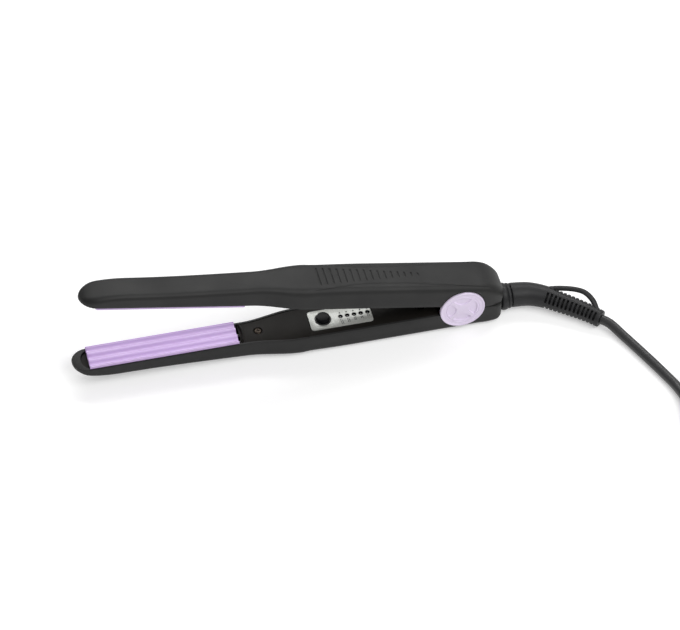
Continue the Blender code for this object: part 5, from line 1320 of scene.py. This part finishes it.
@dataclass
class ControlStrip:
    """The lower arm's silver panel, with its push button, its row of lights and the marks beside them."""

    arm: Arm = LOWER
    xs: Pair = (0.1345, 0.1725)
    half: float = 0.0076
    corner: float = 0.0018
    top: float = 0.0022
    bottom: float = 0.0028
    edge: float = 0.00012
    seat: float = 0.0031
    gap: float = 0.0003
    button_x: float = 0.1429
    button_radius: float = 0.0040
    button_top: float = -0.0004
    button_flange: float = 0.0049
    button_hole: float = 0.0043
    bezel_radius: float = 0.0049
    light_xs: Pair = (0.1537, 0.1703)
    light_count: int = 5
    light_radius: float = 0.00052
    light_sink: float = 0.0005
    light_hole: float = 0.0014
    pipe_radius: float = 0.0011
    pipe_end: float = 0.0066
    bar_half: float = 0.0016
    bar_depths: Pair = (0.0046, 0.0054)
    bezel_fillet: float = 0.0003
    bezel_sink: float = 0.0001
    button_fillet: float = 0.0004
    button_dome: float = 0.0002
    flange_height: float = 0.0007
    stem_radius: float = 0.0015
    stem_end: float = 0.0060
    stem_chamfer: float = 0.0002
    dash_y: float = 0.0028
    bar_ys: Pair = (-0.0043, -0.0028)
    bar_lengths: Pair = (0.0021, 0.0006)
    bar_pair: tuple[Pair, Pair] = ((-0.00045, 0.00017), (0.00045, 0.00017))
    dash: Pair = (0.0, 0.0004)
    dash_lengths: Pair = (0.0005, 0.0005)
    bezel_lap: float = 0.00015
    bezel_gap: float = 0.0001
    bezel_slope: tuple[Pair, Pair] = ((0.0004, 0.0002), (0.00025, 0.0))
    light_dome: float = 0.0003
    pipe_start: float = 0.0012
    bar_corner: float = 0.0005
    collar_gaps: Pair = (0.00003, 0.00004)
    collar_depths: tuple[float, ...] = (0.0010, 0.0001, 0.00006, 0.0007)
    collar_edge: float = 0.0002

    def build(self, tree: GeometryTree) -> None:
        """Makes the strip's pieces.

        Args:
            tree: the tree that repeats a shape along a line.
        """
        self.panel()
        self.bezel()
        self.button()
        self.lights(tree)
        self.marks(tree)

    def light_places(self) -> list[float]:
        """Stations of the lights."""
        return [mix(*self.light_xs, index / (self.light_count - 1)) for index in range(self.light_count)]

    def column(self, x: float, profile: Sequence[Pair], sides: int, finish: Finish,
               name: str = "column") -> bpy.types.Object:
        """A turned object upright on the strip. The profile holds (depth, radius)."""
        return self.arm.turned(Axis.DEPTH, (x, 0, 0), profile, sides).piece(name, finish)

    def openings(self) -> list[bpy.types.Object]:
        """Cutters for the inner cover: the panel's recess and holes for the button and the lights."""
        xs = (self.xs[0] - self.gap, self.xs[1] + self.gap)
        outline = soft_box(xs, self.half + self.gap, self.corner + self.gap)
        result = [self.arm.prism(outline, 0.0, self.seat).piece("recess", INNER)]
        holes = [(self.button_x, self.button_hole)] + [(x, self.light_hole) for x in self.light_places()]
        for x, radius in holes:
            result.append(self.column(x, [(self.top, radius), (self.arm.ledge, radius)], 32, INNER))
        return result

    def panel(self) -> bpy.types.Object:
        """The thin lacquered panel."""
        top, edge = self.top, self.edge
        steps = ((top, edge), (top + edge / 3, edge / 3), (top + edge, 0.0), (self.bottom, 0.0))
        rings = []
        for depth, inset in steps:
            xs = (self.xs[0] + inset, self.xs[1] - inset)
            outline = soft_box(xs, self.half - inset, self.corner - inset)
            rings.append([self.arm.place(x, y, depth) for x, y in outline])
        panel = Solid().loft(rings).piece("lacquered_panel", PANEL)
        tools = []
        holes = [(x, self.light_hole) for x in self.light_places()]
        holes.insert(0, (self.button_x, self.bezel_radius + self.bezel_gap))
        for x, radius in holes:
            wide = radius + edge
            profile = [(0.0, wide), (top, wide), (top + edge, radius), (self.seat, radius)]
            tools.append(self.column(x, profile, 40, PANEL))
        carve(panel, tools)
        return ready(ease(panel), self.arm.body, "silver_panel", "control_panel")

    def bezel(self) -> bpy.types.Object:
        """The ring round the button."""
        inner, outer, fillet = self.button_hole - self.bezel_lap, self.bezel_radius, self.bezel_fillet
        high = self.top - self.bezel_sink
        profile = [(self.bottom, inner), (self.bottom, outer), (high, outer)]
        for a in quarter(4)[1:]:
            profile.append((high - fillet * math.sin(a), outer - fillet * (1 - math.cos(a))))
        profile += [(self.top - rise, inner + reach) for rise, reach in self.bezel_slope]
        ring = self.arm.turned(Axis.DEPTH, (self.button_x, 0, 0), profile, 64, closed=True)
        return ready(ease(ring.piece("button_ring", BEZEL)), self.arm.body, "gloss_black", "button_bezel")

    def button(self) -> bpy.types.Object:
        """The push button, slightly domed, with the flange and the stem under the cover."""
        radius, high, fillet = self.button_radius, self.button_top, self.button_fillet
        side, flat = high + self.button_dome, radius - fillet
        profile = [(high, 0.0)] + [(high + self.button_dome * s**2, flat * s) for s in (0.3, 0.6, 0.8, 1.0)]
        for a in quarter(5)[1:]:
            profile.append((side + fillet * (1 - math.cos(a)), radius - fillet * (1 - math.sin(a))))
        flange, stem, chamfer = self.bar_depths[0], self.stem_radius, self.stem_chamfer
        wide, under = self.button_flange, flange + self.flange_height
        profile += [(flange, radius), (flange, wide), (under, wide), (under, stem)]
        profile += [(self.stem_end - chamfer, stem), (self.stem_end, stem - chamfer), (self.stem_end, 0.0)]
        knob = self.column(self.button_x, profile, 64, GLOSS, "push_button")
        return ready(ease(knob), "button", "gloss_black", "power_button")

    def line(self, ys: Pair, depth: float) -> list[Vector]:
        """A straight line over the lights."""
        return [self.arm.place(x, y, depth) for x, y in zip(self.light_xs, ys)]

    def lights(self, tree: GeometryTree) -> None:
        """The light pipes on their bar, with pale grey tops that are a painted glint, and the dark collars
        round them.
        """
        depth, hole, thin, wide = self.top, self.light_hole, self.light_radius, self.pipe_radius
        count, end = self.light_count, self.pipe_end - self.top
        profile, start = [(self.light_sink, 0.0)], self.pipe_start
        for a in quarter(4)[1:]:
            profile.append((self.light_sink + self.light_dome * (1 - math.cos(a)), thin * math.sin(a)))
        profile += [(start, thin), (start, wide), (end, wide), (end, 0.0)]
        pipe = upright(profile, 24, LENS_PAINTED_GLINT)
        pipes = row_of(tree, "light_pipes", LENS_PAINTED_GLINT, self.line((0, 0), depth), pipe, count)
        xs = (self.light_xs[0] - hole, self.light_xs[1] + hole)
        bar = self.arm.prism(soft_box(xs, self.bar_half, self.bar_corner, 3), *self.bar_depths)
        carve(pipes, [bar.piece("light_bar", LENS_PAINTED_GLINT)], "UNION")
        ready(ease(pipes), self.arm.body, "lens", "led_lenses")
        (within, around), (deep, shoulder, lip, floor) = self.collar_gaps, self.collar_depths
        inner, outer, edge = thin + within, hole - around, self.collar_edge
        collar = [(deep, inner), (deep, outer), (shoulder, outer), (lip, hole - edge)]
        collar += [(floor, thin + edge), (floor, inner)]
        shape = upright(collar, 28, GLOSS, closed=True)
        rings = row_of(tree, "light_collars", GLOSS, self.line((0, 0), depth), shape, count)
        ready(ease(rings), self.arm.body, "gloss_black")

    def marks(self, tree: GeometryTree) -> None:
        """The printed marks: a short dash beyond each light, and paired bars that shorten along the row."""
        rows = (
            ("level_bars", self.bar_ys, flat_bars(self.bar_pair), self.bar_lengths),
            ("level_dashes", (self.dash_y, self.dash_y), flat_bars([self.dash]), self.dash_lengths),
        )
        made = []
        for name, ys, shape, (first, last) in rows:
            line, scales = self.line(ys, self.top), ((first, 1, 1), (last, 1, 1))
            made.append(row_of(tree, name, PRINT, line, shape, self.light_count, scales))
        bars, dashes = made
        carve(bars, [dashes], "UNION")
        ready(ease(bars), self.arm.body, "gloss_black")


# A row along x turns a shape's x to -y, its y to -z and its z to x
ROW_TURN = Matrix(((0, 0, 1), (-1, 0, 0), (0, -1, 0)))


def upright(profile: Sequence[Pair], sides: int, finish: Finish, closed: bool = False) -> bpy.types.Object:
    """A turned shape, upright when a row along x repeats it. The profile holds (depth, radius)."""
    turn = ROW_TURN.inverted()
    rings = [[turn @ Vector((a, b, -depth)) for a, b in spokes(radius, sides)] for depth, radius in profile]
    return Solid().loft(rings, closed).piece("row_shape", finish)


def flat_bars(bars: Sequence[Pair], lift: float = 0.00003) -> bpy.types.Object:
    """Flat bars across a row, as (place, half width). Their half length is 1 before the row scales them."""
    solid, turn = Solid(), ROW_TURN.inverted()
    for place, half in bars:
        corners = [(place - half, -1), (place + half, -1), (place + half, 1), (place - half, 1)]
        solid.loft([[turn @ Vector((x, y, z)) for x, y in corners] for z in (-lift, lift)])
    return solid.piece("row_shape", PRINT)


# The spring, the swivel, the strain relief and the cord


@dataclass
class ReturnSpring:
    """The coil spring between the arms, with closed ends."""

    arm: Arm = LOWER
    x: float = 0.2036
    radius: float = 0.0026
    wire: float = 0.0004
    turns: float = 7.0
    closed_turns: float = 0.8
    ends: Pair = (0.0073, -0.0115)
    parts_of_turn: int = 22
    keep: float = 0.775

    def build(self) -> bpy.types.Object:
        """Makes the spring."""
        (bottom, top), closed, flat = self.ends, self.closed_turns, 2 * self.wire
        open_turns, span = self.turns - 2 * closed, bottom - top - 2 * flat * closed
        path = []
        for turn in spaced(0.0, self.turns, 1 / self.parts_of_turn):
            low = bottom - flat * min(turn, closed)
            high = low - span * min(max(turn - closed, 0.0), open_turns) / open_turns
            depth = high - flat * max(turn - self.turns + closed, 0.0)
            angle = 2 * math.pi * turn
            x, y = self.x + self.radius * math.cos(angle), self.radius * math.sin(angle)
            path.append(self.arm.place(x, y, depth))
        spring = Solid().sweep(path, [(self.wire, self.wire)] * len(path), 10).piece("coil_spring", SPRING)
        ready(ease(spring, 60.0), self.arm.body, "steel", "return_spring")
        anchor = self.arm.place(self.x, 0, bottom + self.wire)
        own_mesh(spring)
        return spring


SWIVEL_BODY = "cord_swivel_body"


@dataclass
class SwivelCollar:
    """The round collar that turns in the lower arm's end."""

    depth: float = 0.0091
    bore: float = 0.0018
    neck: float = 0.0032
    neck_start: float = 0.2385
    neck_edge: float = 0.0003
    groove: Pair = (0.2391, 0.2405)
    groove_radius: float = 0.0025
    start: float = 0.2523
    end: float = 0.2590
    socket_start: float = 0.2540
    socket_radius: float = 0.0053
    swell: float = 0.0084
    bulge: tuple[Pair, ...] = (
        (0.0001, 0.0010), (0.0006, 0.0004), (0.0013, 0.0001), (0.0022, 0.0),
        (0.0032, 0.0001), (0.0040, 0.0004), (0.0043, 0.0009), (0.0045, 0.0010),
        (0.0048, 0.0007), (0.0055, 0.0006), (0.0062, 0.0008), (0.0067, 0.0013),
    )

    def build(self) -> bpy.types.Object:
        """Makes the collar."""
        start, neck, edge = self.neck_start, self.neck, self.neck_edge
        profile = [(start, self.bore), (start, neck - edge), (start + edge, neck)]
        for x, radius in zip(self.groove, (self.groove_radius, neck)):
            profile += [(x, neck + self.groove_radius - radius), (x, radius)]
        profile += [(self.start, neck), (self.start, self.swell - 0.0014)]
        profile += [(self.start + along, self.swell - drop) for along, drop in self.bulge]
        socket = self.socket_radius
        profile += [(self.end, socket), (self.socket_start, socket), (self.socket_start, self.bore)]
        collar = LOWER.turned(Axis.X, (0, 0, self.depth), profile, 96, closed=True).piece("collar", RUBBER)
        return ready(ease(collar, 50.0), SWIVEL_BODY, "soft_touch_black", "swivel_collar")


@dataclass
class StrainRelief:
    """The moulded boot: plain at first, then pierced by rows of windows, with a strap as a hanging loop."""

    route: tuple[Triple, ...] = (
        (0.2596, 0.0000, -0.0091), (0.2700, -0.0014, -0.0092), (0.2795, -0.0055, -0.0097),
        (0.2877, -0.0114, -0.0104), (0.2955, -0.0174, -0.0109), (0.3030, -0.0236, -0.0115),
        (0.3082, -0.0288, -0.0120),
    )
    strap_route: tuple[Triple, ...] = (
        (0.2780, -0.0022, -0.0070), (0.2840, -0.0036, -0.0056), (0.2899, -0.0060, -0.0042),
        (0.2969, -0.0096, -0.0031), (0.3021, -0.0135, -0.0031), (0.3056, -0.0185, -0.0054),
        (0.3067, -0.0230, -0.0086), (0.3068, -0.0258, -0.0110),
    )
    spigot_x: float = 0.2543
    spigot_radius: float = 0.0050
    radii: tuple[Pair, ...] = ((0.0, 0.0075), (0.0080, 0.0073), (0.0230, 0.0067), (0.0585, 0.0053))
    window_span: Pair = (0.0233, 0.0548)
    window_count: int = 13
    window_half: float = 0.00068
    window_angle: float = math.radians(31)
    window_floor: float = 0.0040
    window_reach: float = 0.0006
    mouth_drops: Pair = (0.0004, 0.0001)
    tip_shares: Triple = (0.55, 0.85, 1.0)
    tip_drop: float = 0.0006
    strap_half: Pair = (0.0018, 0.0013)
    strap_step: float = 0.0012
    step: float = 0.0008

    def build(self, tree: GeometryTree) -> bpy.types.Object:
        """Makes the boot.

        Args:
            tree: the tree that repeats a shape along a line.

        Returns:
            The boot's object.
        """
        line = [in_row(point) for point in even_points(self.route, self.step)]
        total = path_length(line)
        pace = total / (len(line) - 1)
        spigot, mouth = self.spigot_radius, self.radius(0.0)
        path = [in_row((self.spigot_x, 0, self.route[0][2])), line[0], line[0], line[0], *line[1:-1]]
        radii = [spigot, spigot, *(mouth - drop for drop in self.mouth_drops)]
        radii += [self.radius(pace * index) for index in range(1, len(line) - 1)]
        for share in self.tip_shares:
            path.append(mix(line[-2], line[-1], share))
            radii.append(self.radius(total) - self.tip_drop * (1 - math.sqrt(1 - share**2)))
        boot = Solid().sweep(path, [(r, r) for r in radii], 48).piece("boot", RUBBER)
        carve(boot, [self.windows(tree, line, pace)])
        strap = [in_row(point) for point in even_points(self.strap_route, self.strap_step)]
        sizes = [self.strap_half] * len(strap)
        carve(boot, [Solid().sweep(strap, sizes, 20).piece("strap", RUBBER)], "UNION")
        return ready(ease(boot, 40.0), SWIVEL_BODY, "black_rubber", "strain_relief")

    def radius(self, place: float) -> float:
        """Radius of the boot at that distance from its start."""
        for (start, first), (end, last) in zip(self.radii, self.radii[1:]):
            if place <= end:
                return mix(first, last, (place - start) / (end - start))
        return self.radii[-1][1]

    def windows(self, tree: GeometryTree, line: Sequence[Vector], pace: float) -> bpy.types.Object:
        """Cutters for the windows, four round the boot at each place."""
        start, end = self.window_span
        near = pace / 2
        part = [point for index, point in enumerate(line) if start - near <= index * pace <= end + near]
        floor, reach = self.window_floor, self.radius(start) + self.window_reach
        solid = Solid()
        for side in range(4):
            middle = math.pi / 4 + side * math.pi / 2
            angles = [middle + self.window_angle * (index / 4 - 1) for index in range(9)]
            outline = [(floor * math.cos(a), floor * math.sin(a)) for a in angles]
            outline += [(reach * math.cos(a), reach * math.sin(a)) for a in reversed(angles)]
            ends = (-self.window_half, self.window_half)
            solid.loft([[Vector((a, b, z)) for a, b in outline] for z in ends])
        last, shape = self.radius(end) / self.radius(start), solid.piece("row_shape", RUBBER)
        return row_of(tree, "windows", RUBBER, part, shape, self.window_count, ((1, 1, 1), (last, last, 1)))


def in_row(point: Any) -> Vector:
    """A point of the arms' frame, with its height as z, in the row frame."""
    return Vector(point) + Vector((-LOWER.centre_x, 0, LOWER.floor))


@dataclass
class PowerCord:
    """The cord from the strain relief to the plug. What the photo doesn't show is a tied coil."""

    length: float = 1.8
    diameter: float = 0.0060
    gap: float = 0.0003
    boot_end: tuple[Triple, Triple] = ((0.3030, -0.0236, -0.0115), (0.3082, -0.0288, -0.0120))
    route: tuple[Triple, ...] = (
        (0.3167, -0.0403, -0.0136), (0.3199, -0.0469, -0.0142), (0.3227, -0.0530, -0.0142),
        (0.3270, -0.0630, -0.0142), (0.3320, -0.0750, -0.0142), (0.3366, -0.0875, -0.0140),
        (0.3389, -0.0960, -0.0135), (0.3394, -0.1010, -0.0132),
    )
    tail_offsets: tuple[Triple, ...] = (
        (0.0014, -0.0129, 0.0016), (0.0053, -0.0187, 0.0046), (0.0111, -0.0226, 0.0080),
        (0.0180, -0.0240, 0.0101),
    )
    step: float = 0.0120
    tail_step: float = 0.0060
    fine_step: float = 0.0030
    coil_turns: int = 8
    coil_pitch: float = 0.0066
    layer_step: float = 0.0066
    climb_turns: float = 0.5
    coil_height: float = -0.0132
    coil_points: int = 48
    tie_half_width: float = 0.0050
    tie_thickness: float = 0.0008
    tie_slack: float = 0.0007
    tie_edge: float = 0.0003
    tie_corner: float = 0.0024
    tie_shoulder: float = 0.8
    flap_insets: Pair = (0.0035, 0.0065)
    flap_margin: float = 0.0002
    flap_corner: float = 0.0030
    flap_sink: float = 0.0001
    flap_steps: tuple[Pair, ...] = ((0.0004, 0.0), (0.0, 0.0002), (0.0, 0.0005), (0.0005, 0.0007))

    def build(self) -> bpy.types.Object:
        sideways, onward = Vector((0, -1, 0)), Vector((1, 0, 0))
        before, end = (Vector(point) for point in self.boot_end)
        heading = (end - before).normalized()
        exit_point = end + heading * self.gap
        run = self.stretch(exit_point, heading, self.route, sideways, self.step)
        tail_shape = self.stretch(Vector((0, 0, 0)), sideways, self.tail_offsets, onward, self.tail_step)
        winding = self.length - path_length(run) - path_length(tail_shape) - 2 * self.diameter
        inner = winding / (2 * math.pi * self.coil_turns) - self.coil_pitch * self.coil_turns / 4
        start = Vector((run[-1].x, run[-1].y - self.gap, self.coil_height))
        centre = start + Vector((inner + self.coil_pitch * self.coil_turns / 2, -self.diameter, 0))
        coil = self.coil(centre, inner)
        tail_start = coil[-1] + sideways * (self.diameter + self.gap)
        tail = [tail_start + offset for offset in tail_shape]
        legs = (run, [run[-1], start, coil[0]], [coil[-1], tail_start], tail)
        first, onto_coil, off_coil, last = (even_points(leg, self.fine_step) for leg in legs)
        route = first[:-1] + onto_coil[:-1] + coil[:-1] + off_coil[:-1] + last
        cord = self.curve([in_row(point) for point in route])
        tie = self.tie(centre, inner)
        plug = Plug().build(tail[-1] + onward * self.gap, onward)
        ready(cord, SWIVEL_BODY, "black_rubber", "cord_run", "cord_coil", "cord_tail")
        tuple(in_row(exit_point))
        return cord

    def stretch(self, start: Vector, heading: Vector, route: Sequence[Triple], end_heading: Vector,
                step: float) -> list[Vector]:
        """The points of a free length, with one straight diameter at each end."""
        middle = even_points([start + heading * self.diameter, *route], step)
        return [start, *middle, middle[-1] + end_heading * self.diameter]

    def coil(self, centre: Vector, inner: float) -> list[Vector]:
        """The coil's points: it winds inwards in the lower layer and outwards in the upper one."""
        layer = self.coil_turns / 2
        result = []
        for turn in spaced(0, self.coil_turns, 1 / self.coil_points):
            angle, radius = math.pi + 2 * math.pi * turn, inner + self.coil_pitch * abs(turn - layer)
            start, end = layer - self.climb_turns / 2, layer + self.climb_turns / 2
            climb = self.layer_step * smooth(turn, start, end)
            result.append(centre + Vector((math.cos(angle) * radius, math.sin(angle) * radius, climb)))
        return result

    def curve(self, route: Sequence[Vector]) -> bpy.types.Object:
        """A round cord along the route."""
        data = bpy.data.curves.new("cord", "CURVE")
        data.dimensions = "3D"
        data.bevel_depth = self.diameter / 2
        data.bevel_resolution = 5
        data.use_fill_caps = True
        spline = data.splines.new("POLY")
        spline.points.add(len(route) - 1)
        for point, place in zip(spline.points, route):
            point.co = (*place, 1.0)
        spline.use_smooth = True
        data.materials.append(CORD.material())
        return in_scene("mains_cord", data)

    def tie(self, centre: Vector, inner: float) -> bpy.types.Object:
        """The soft strap round the coil, with its end folded over itself."""
        radius = self.diameter / 2 + self.gap
        left = inner + self.coil_pitch * 0.5 - radius - self.tie_slack
        right = inner + self.coil_pitch * (self.coil_turns / 2 - 0.5) + radius
        low, high = self.coil_height - radius, self.coil_height + self.layer_step + radius
        thick, half, edge = self.tie_thickness, self.tie_half_width, self.tie_edge
        loops = []
        section = ((0, half), (self.tie_shoulder, half), (1, half - edge))
        section = ((0, -half), *section, *((grow, -y) for grow, y in reversed(section[1:])))
        for grow, y in section:
            x0, x1, wide = left - thick * grow, right + thick * grow, (high - low) / 2 + thick * grow
            outline = soft_box((centre.x + x0, centre.x + x1), wide, self.tie_corner + thick * grow, 5)
            loops.append([in_row((x, centre.y + y, z + (low + high) / 2)) for x, z in outline])
        strap = Solid().loft(loops, closed=True).piece("coil_tie", TIE)
        flap = []
        (near, far), level = self.flap_insets, high + thick - self.flap_sink
        for grow, z in self.flap_steps:
            xs = (centre.x + left + near + grow, centre.x + right - far - grow)
            outline = soft_box(xs, half - self.flap_margin - grow, self.flap_corner)
            flap.append([in_row((x, centre.y + y, level + z)) for x, y in outline])
        carve(strap, [Solid().loft(flap).piece("flap", TIE)], "UNION")
        return ready(ease(strap, 50.0), SWIVEL_BODY, "black_rubber", "cord_tie")


@dataclass
class Plug:
    """A flat two-pin plug that lies on the coil on its broad side."""

    length: float = 0.0360
    half: Pair = (0.0130, 0.0068)
    neck: float = 0.0042
    taper: float = 0.0200
    pin_spacing: float = 0.0186
    pin_radius: float = 0.0020
    pin_length: float = 0.0190
    pin_gap: float = 0.0003
    pin_bluntness: float = 0.8
    pin_tip: float = 0.0003
    corner: float = 0.0014
    mouth_edge: Pair = (0.0006, 0.0008)
    grip_xs: Pair = (0.018, 0.0292)
    grip_pitch: float = 0.0028
    grip_depth: float = 0.0005
    squareness: float = 0.55

    def build(self, start: Vector, heading: Vector) -> list[bpy.types.Object]:
        """Makes the plug.

        Args:
            start: where the cord ends, in the arms' frame.
            heading: the level direction in which the cord enters.

        Returns:
            The body and its two pins.
        """
        result = [ready(ease(self.body(start, heading), 40.0), SWIVEL_BODY, "black_rubber", "plug_body")]
        for label, sign in (("left", -1), ("right", 1)):
            pin = self.pin(label, start + heading * (self.length + self.pin_gap), heading, sign)
            result.append(ready(ease(pin), SWIVEL_BODY, "plug_brass", f"plug_pin_{label}"))
        return result

    def body(self, start: Vector, heading: Vector) -> bpy.types.Object:
        """The moulded body, round at the cord and squarer towards the pins, with grip ribs."""
        across, corner, (mouth, depth) = self.across(heading), self.corner, self.mouth_edge
        stations = [self.length * (index / 40) for index in range(39)]
        stations += [self.length - corner * (1 - math.sin(a)) for a in quarter(5)]
        rings = []
        for along in sorted(stations):
            share = smooth(along, 0.2 * self.taper, self.taper)
            wide, high = (mix(self.neck, reach, share) for reach in self.half)
            left = max(corner - (self.length - along), 0.0)
            inset = corner - math.sqrt(corner**2 - left**2)
            inset += mouth * (1 - round_share(along, depth))
            power, ring = mix(1.0, self.squareness, share), []
            for a, b in circle(1.0, 56):
                x = math.copysign(abs(a) ** power, a) * (wide - inset)
                groove = self.grip(along, share) * max(1 - (x / (0.8 * wide)) ** 2, 0.0)
                z = math.copysign(abs(b) ** power, b) * (high - inset - groove)
                ring.append(in_row(start + heading * along + across * x + Vector((0, 0, z))))
            rings.append(ring)
        return Solid().loft(rings).piece("moulded_plug", RUBBER)

    def across(self, heading: Vector) -> Vector:
        """The level direction across the plug."""
        return Vector((heading.y, -heading.x, 0))

    def grip(self, along: float, share: float) -> float:
        """Depth of the grip grooves at a station."""
        start, end = self.grip_xs
        if not start < along < end:
            return 0.0
        turn = 2 * math.pi * (along - start) / self.grip_pitch
        return self.grip_depth * share * (0.5 - 0.5 * math.cos(turn))

    def pin(self, label: str, face: Vector, heading: Vector, sign: int) -> bpy.types.Object:
        """One round pin with a blunt tip."""
        base, radius = face + self.across(heading) * (sign * self.pin_spacing / 2), self.pin_radius
        blunt = radius * self.pin_bluntness
        tip = self.pin_length - blunt
        rows = [(0.0, radius), (tip, radius)]
        for a in quarter(6)[1:]:
            rows.append((tip + blunt * math.sin(a), max(radius * math.cos(a), self.pin_tip)))
        path = [in_row(base + heading * along) for along, _ in rows]
        return Solid().sweep(path, [(wide, wide) for _, wide in rows], 28).piece(f"{label}_pin", BRASS)


# What stays as the frame has it


def dress(finish: Finish, *nodes: str) -> None:
    """Gives nodes of the frame that stay in view a finish."""
    for name in nodes:
        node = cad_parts[name]
        if not node.material_slots:
            node.data.materials.append(finish.material())
        for slot in node.material_slots:
            slot.material = finish.material()
        LOG.info("dressed %s", name)


def dress_inner_parts() -> None:
    """Dresses the parts inside the arms."""
    both = ("lower", "upper")
    dress(HEATER, *(f"{label}_heater" for label in both))
    dress(STEEL, *(f"{label}_heater_spring" for label in both))
    dress(WHITE_WIRE, *(f"{label}_heater_lead_{side}" for label in both for side in ("near", "far")))
    dress(WHITE_WIRE, "upper_lead_splice_near", "upper_lead_splice_far")
    dress(RED_WIRE, "mains_lead_near")
    dress(CORD, "mains_lead_far")
    dress(BOARD, "circuit_board")
    dress(COMPONENT, "button_switch", "terminal_block", "capacitor", "control_chip")
    dress(LENS_PAINTED_GLINT, "indicator_lights")
    dress(SCREW, "board_screw_front", "board_screw_rear")
    dress(STEEL, "hinge_pin", "hinge_washer_near", "hinge_washer_far", "hinge_bush")
    dress(STEEL, "swivel_retaining_ring", "thermal_fuse")


# Light and camera


@dataclass(frozen=True)
class Softbox:
    """A rectangular lamp that looks at a point on the table."""

    name: str
    place: Triple
    size: Pair
    power: float
    target: Triple = (0.04, 0.0, 0.02)

    def build(self) -> bpy.types.Object:
        """Makes the lamp."""
        data = bpy.data.lights.new(self.name, "AREA")
        data.shape = "RECTANGLE"
        data.size, data.size_y = self.size
        data.energy = self.power
        lamp = in_scene(self.name, data)
        lamp.location = self.place
        lamp.rotation_euler = (Vector(self.place) - Vector(self.target)).to_track_quat("Z", "Y").to_euler()
        return lamp


@dataclass
class Studio:
    """A white table, a pale room, soft lamps and the photograph's camera."""

    table_half: float = 3.0
    table_colour: float = 0.82
    table_glow: float = 0.35
    room_light: float = 0.32
    lamps: tuple[Softbox, ...] = (
        Softbox("rear_strip", (0.5, 1.2, 1.4), (2.4, 0.5), 21.0),
        Softbox("right_softbox", (0.7, -0.9, 1.5), (1.6, 1.2), 22.0),
    )
    azimuth: float = math.radians(15.056)
    elevation: float = math.radians(47.364)
    roll: float = math.radians(1.517)
    distance: float = 2.12148
    focal: float = 3600.0
    image: Pair = (680.0, 630.0)
    aim: Pair = (87.467, 356.897)
    sensor: float = 36.0
    clip: Pair = (0.05, 20.0)

    def build(self) -> None:
        """Makes the whole set."""
        self.table()
        self.room()
        for lamp in self.lamps:
            lamp.build()
        self.camera()

    def table(self) -> bpy.types.Object:
        """The table top, which shows white and keeps the shadows."""
        data = bpy.data.meshes.new("table")
        signs = ((-1, -1), (1, -1), (1, 1), (-1, 1))
        corners = [(x * self.table_half, y * self.table_half, 0) for x, y in signs]
        data.from_pydata(corners, [], [(0, 1, 2, 3)])
        top = in_scene("table", data)
        material = bpy.data.materials.new("table_white")
        material.use_nodes = True
        shader, graph = material.node_tree.nodes["Principled BSDF"], Graph(material.node_tree)
        ray = graph.node("ShaderNodeLightPath").outputs
        seen = graph.math("MAXIMUM", ray["Is Camera Ray"], ray["Is Glossy Ray"])
        seen = graph.math("MAXIMUM", seen, ray["Is Transmission Ray"])
        surface = {
            "Base Color": (self.table_colour,) * 3 + (1.0,),
            "Roughness": 0.9,
            "Specular IOR Level": 0.1,
            "Emission Color": WHITE,
            "Emission Strength": graph.math("MULTIPLY", seen, self.table_glow),
        }
        for label, value in surface.items():
            graph.feed(shader.inputs[label], value)
        data.materials.append(material)
        return top

    def room(self) -> None:
        """The pale room, white where it is seen."""
        world = bpy.data.worlds.new("room")
        world.use_nodes = True
        bpy.context.scene.world = world
        graph = Graph(world.node_tree)
        ray = graph.node("ShaderNodeLightPath").outputs["Is Camera Ray"]
        ground = world.node_tree.nodes["Background"]
        graph.feed(ground.inputs["Color"], WHITE)
        graph.feed(ground.inputs["Strength"], graph.remap(ray, 0.0, 1.0, self.room_light, 1.0))

    def camera(self) -> bpy.types.Object:
        """The camera, placed so that the aim point of the picture shows the arms' origin."""
        a, e, roll = self.azimuth, self.elevation, self.roll
        back = Vector((-math.sin(a) * math.cos(e), -math.cos(a) * math.cos(e), math.sin(e)))
        right = Vector((math.cos(a), -math.sin(a), 0))
        upward = back.cross(right)
        across = right * math.cos(roll) + upward * math.sin(roll)
        upright_axis = upward * math.cos(roll) - right * math.sin(roll)
        x = (self.aim[0] - self.image[0] / 2) / self.focal * self.distance
        y = (self.image[1] / 2 - self.aim[1]) / self.focal * self.distance
        place = in_row(back * self.distance - across * x - upright_axis * y)
        data = bpy.data.cameras.new("camera")
        data.sensor_width = self.sensor
        data.lens = self.focal / self.image[0] * data.sensor_width
        data.clip_start, data.clip_end = self.clip
        made = in_scene("camera", data)
        turn = Matrix((across, upright_axis, back)).transposed()
        made.matrix_world = Matrix.Translation(place) @ turn.to_4x4()
        bpy.context.scene.camera = made
        return made


def main() -> None:
    """Builds the studio and then every piece."""
    logging.basicConfig(level=logging.INFO, format="%(name)s: %(message)s")
    bpy.context.scene.view_settings.view_transform = "Standard"
    Studio().build()
    PowerCord().build()
    row, ribs, controls = row_tree(), rib_tree(), ControlStrip()
    for arm in (LOWER, UPPER):
        Shell(arm).build(row)
        PlateCarrier(arm).build()
        CrimpPlate(arm).build(ribs)
        InnerCover(arm).build(controls if arm is LOWER else None)
        CoverScrew(arm).build()
    controls.build(row)
    for label, sign in (("near", -1), ("far", 1)):
        HingeCap(label, sign).build()
    ReturnSpring().build()
    SwivelCollar().build()
    StrainRelief().build(row)
    dress_inner_parts()


if __name__ == "__main__":
    main()
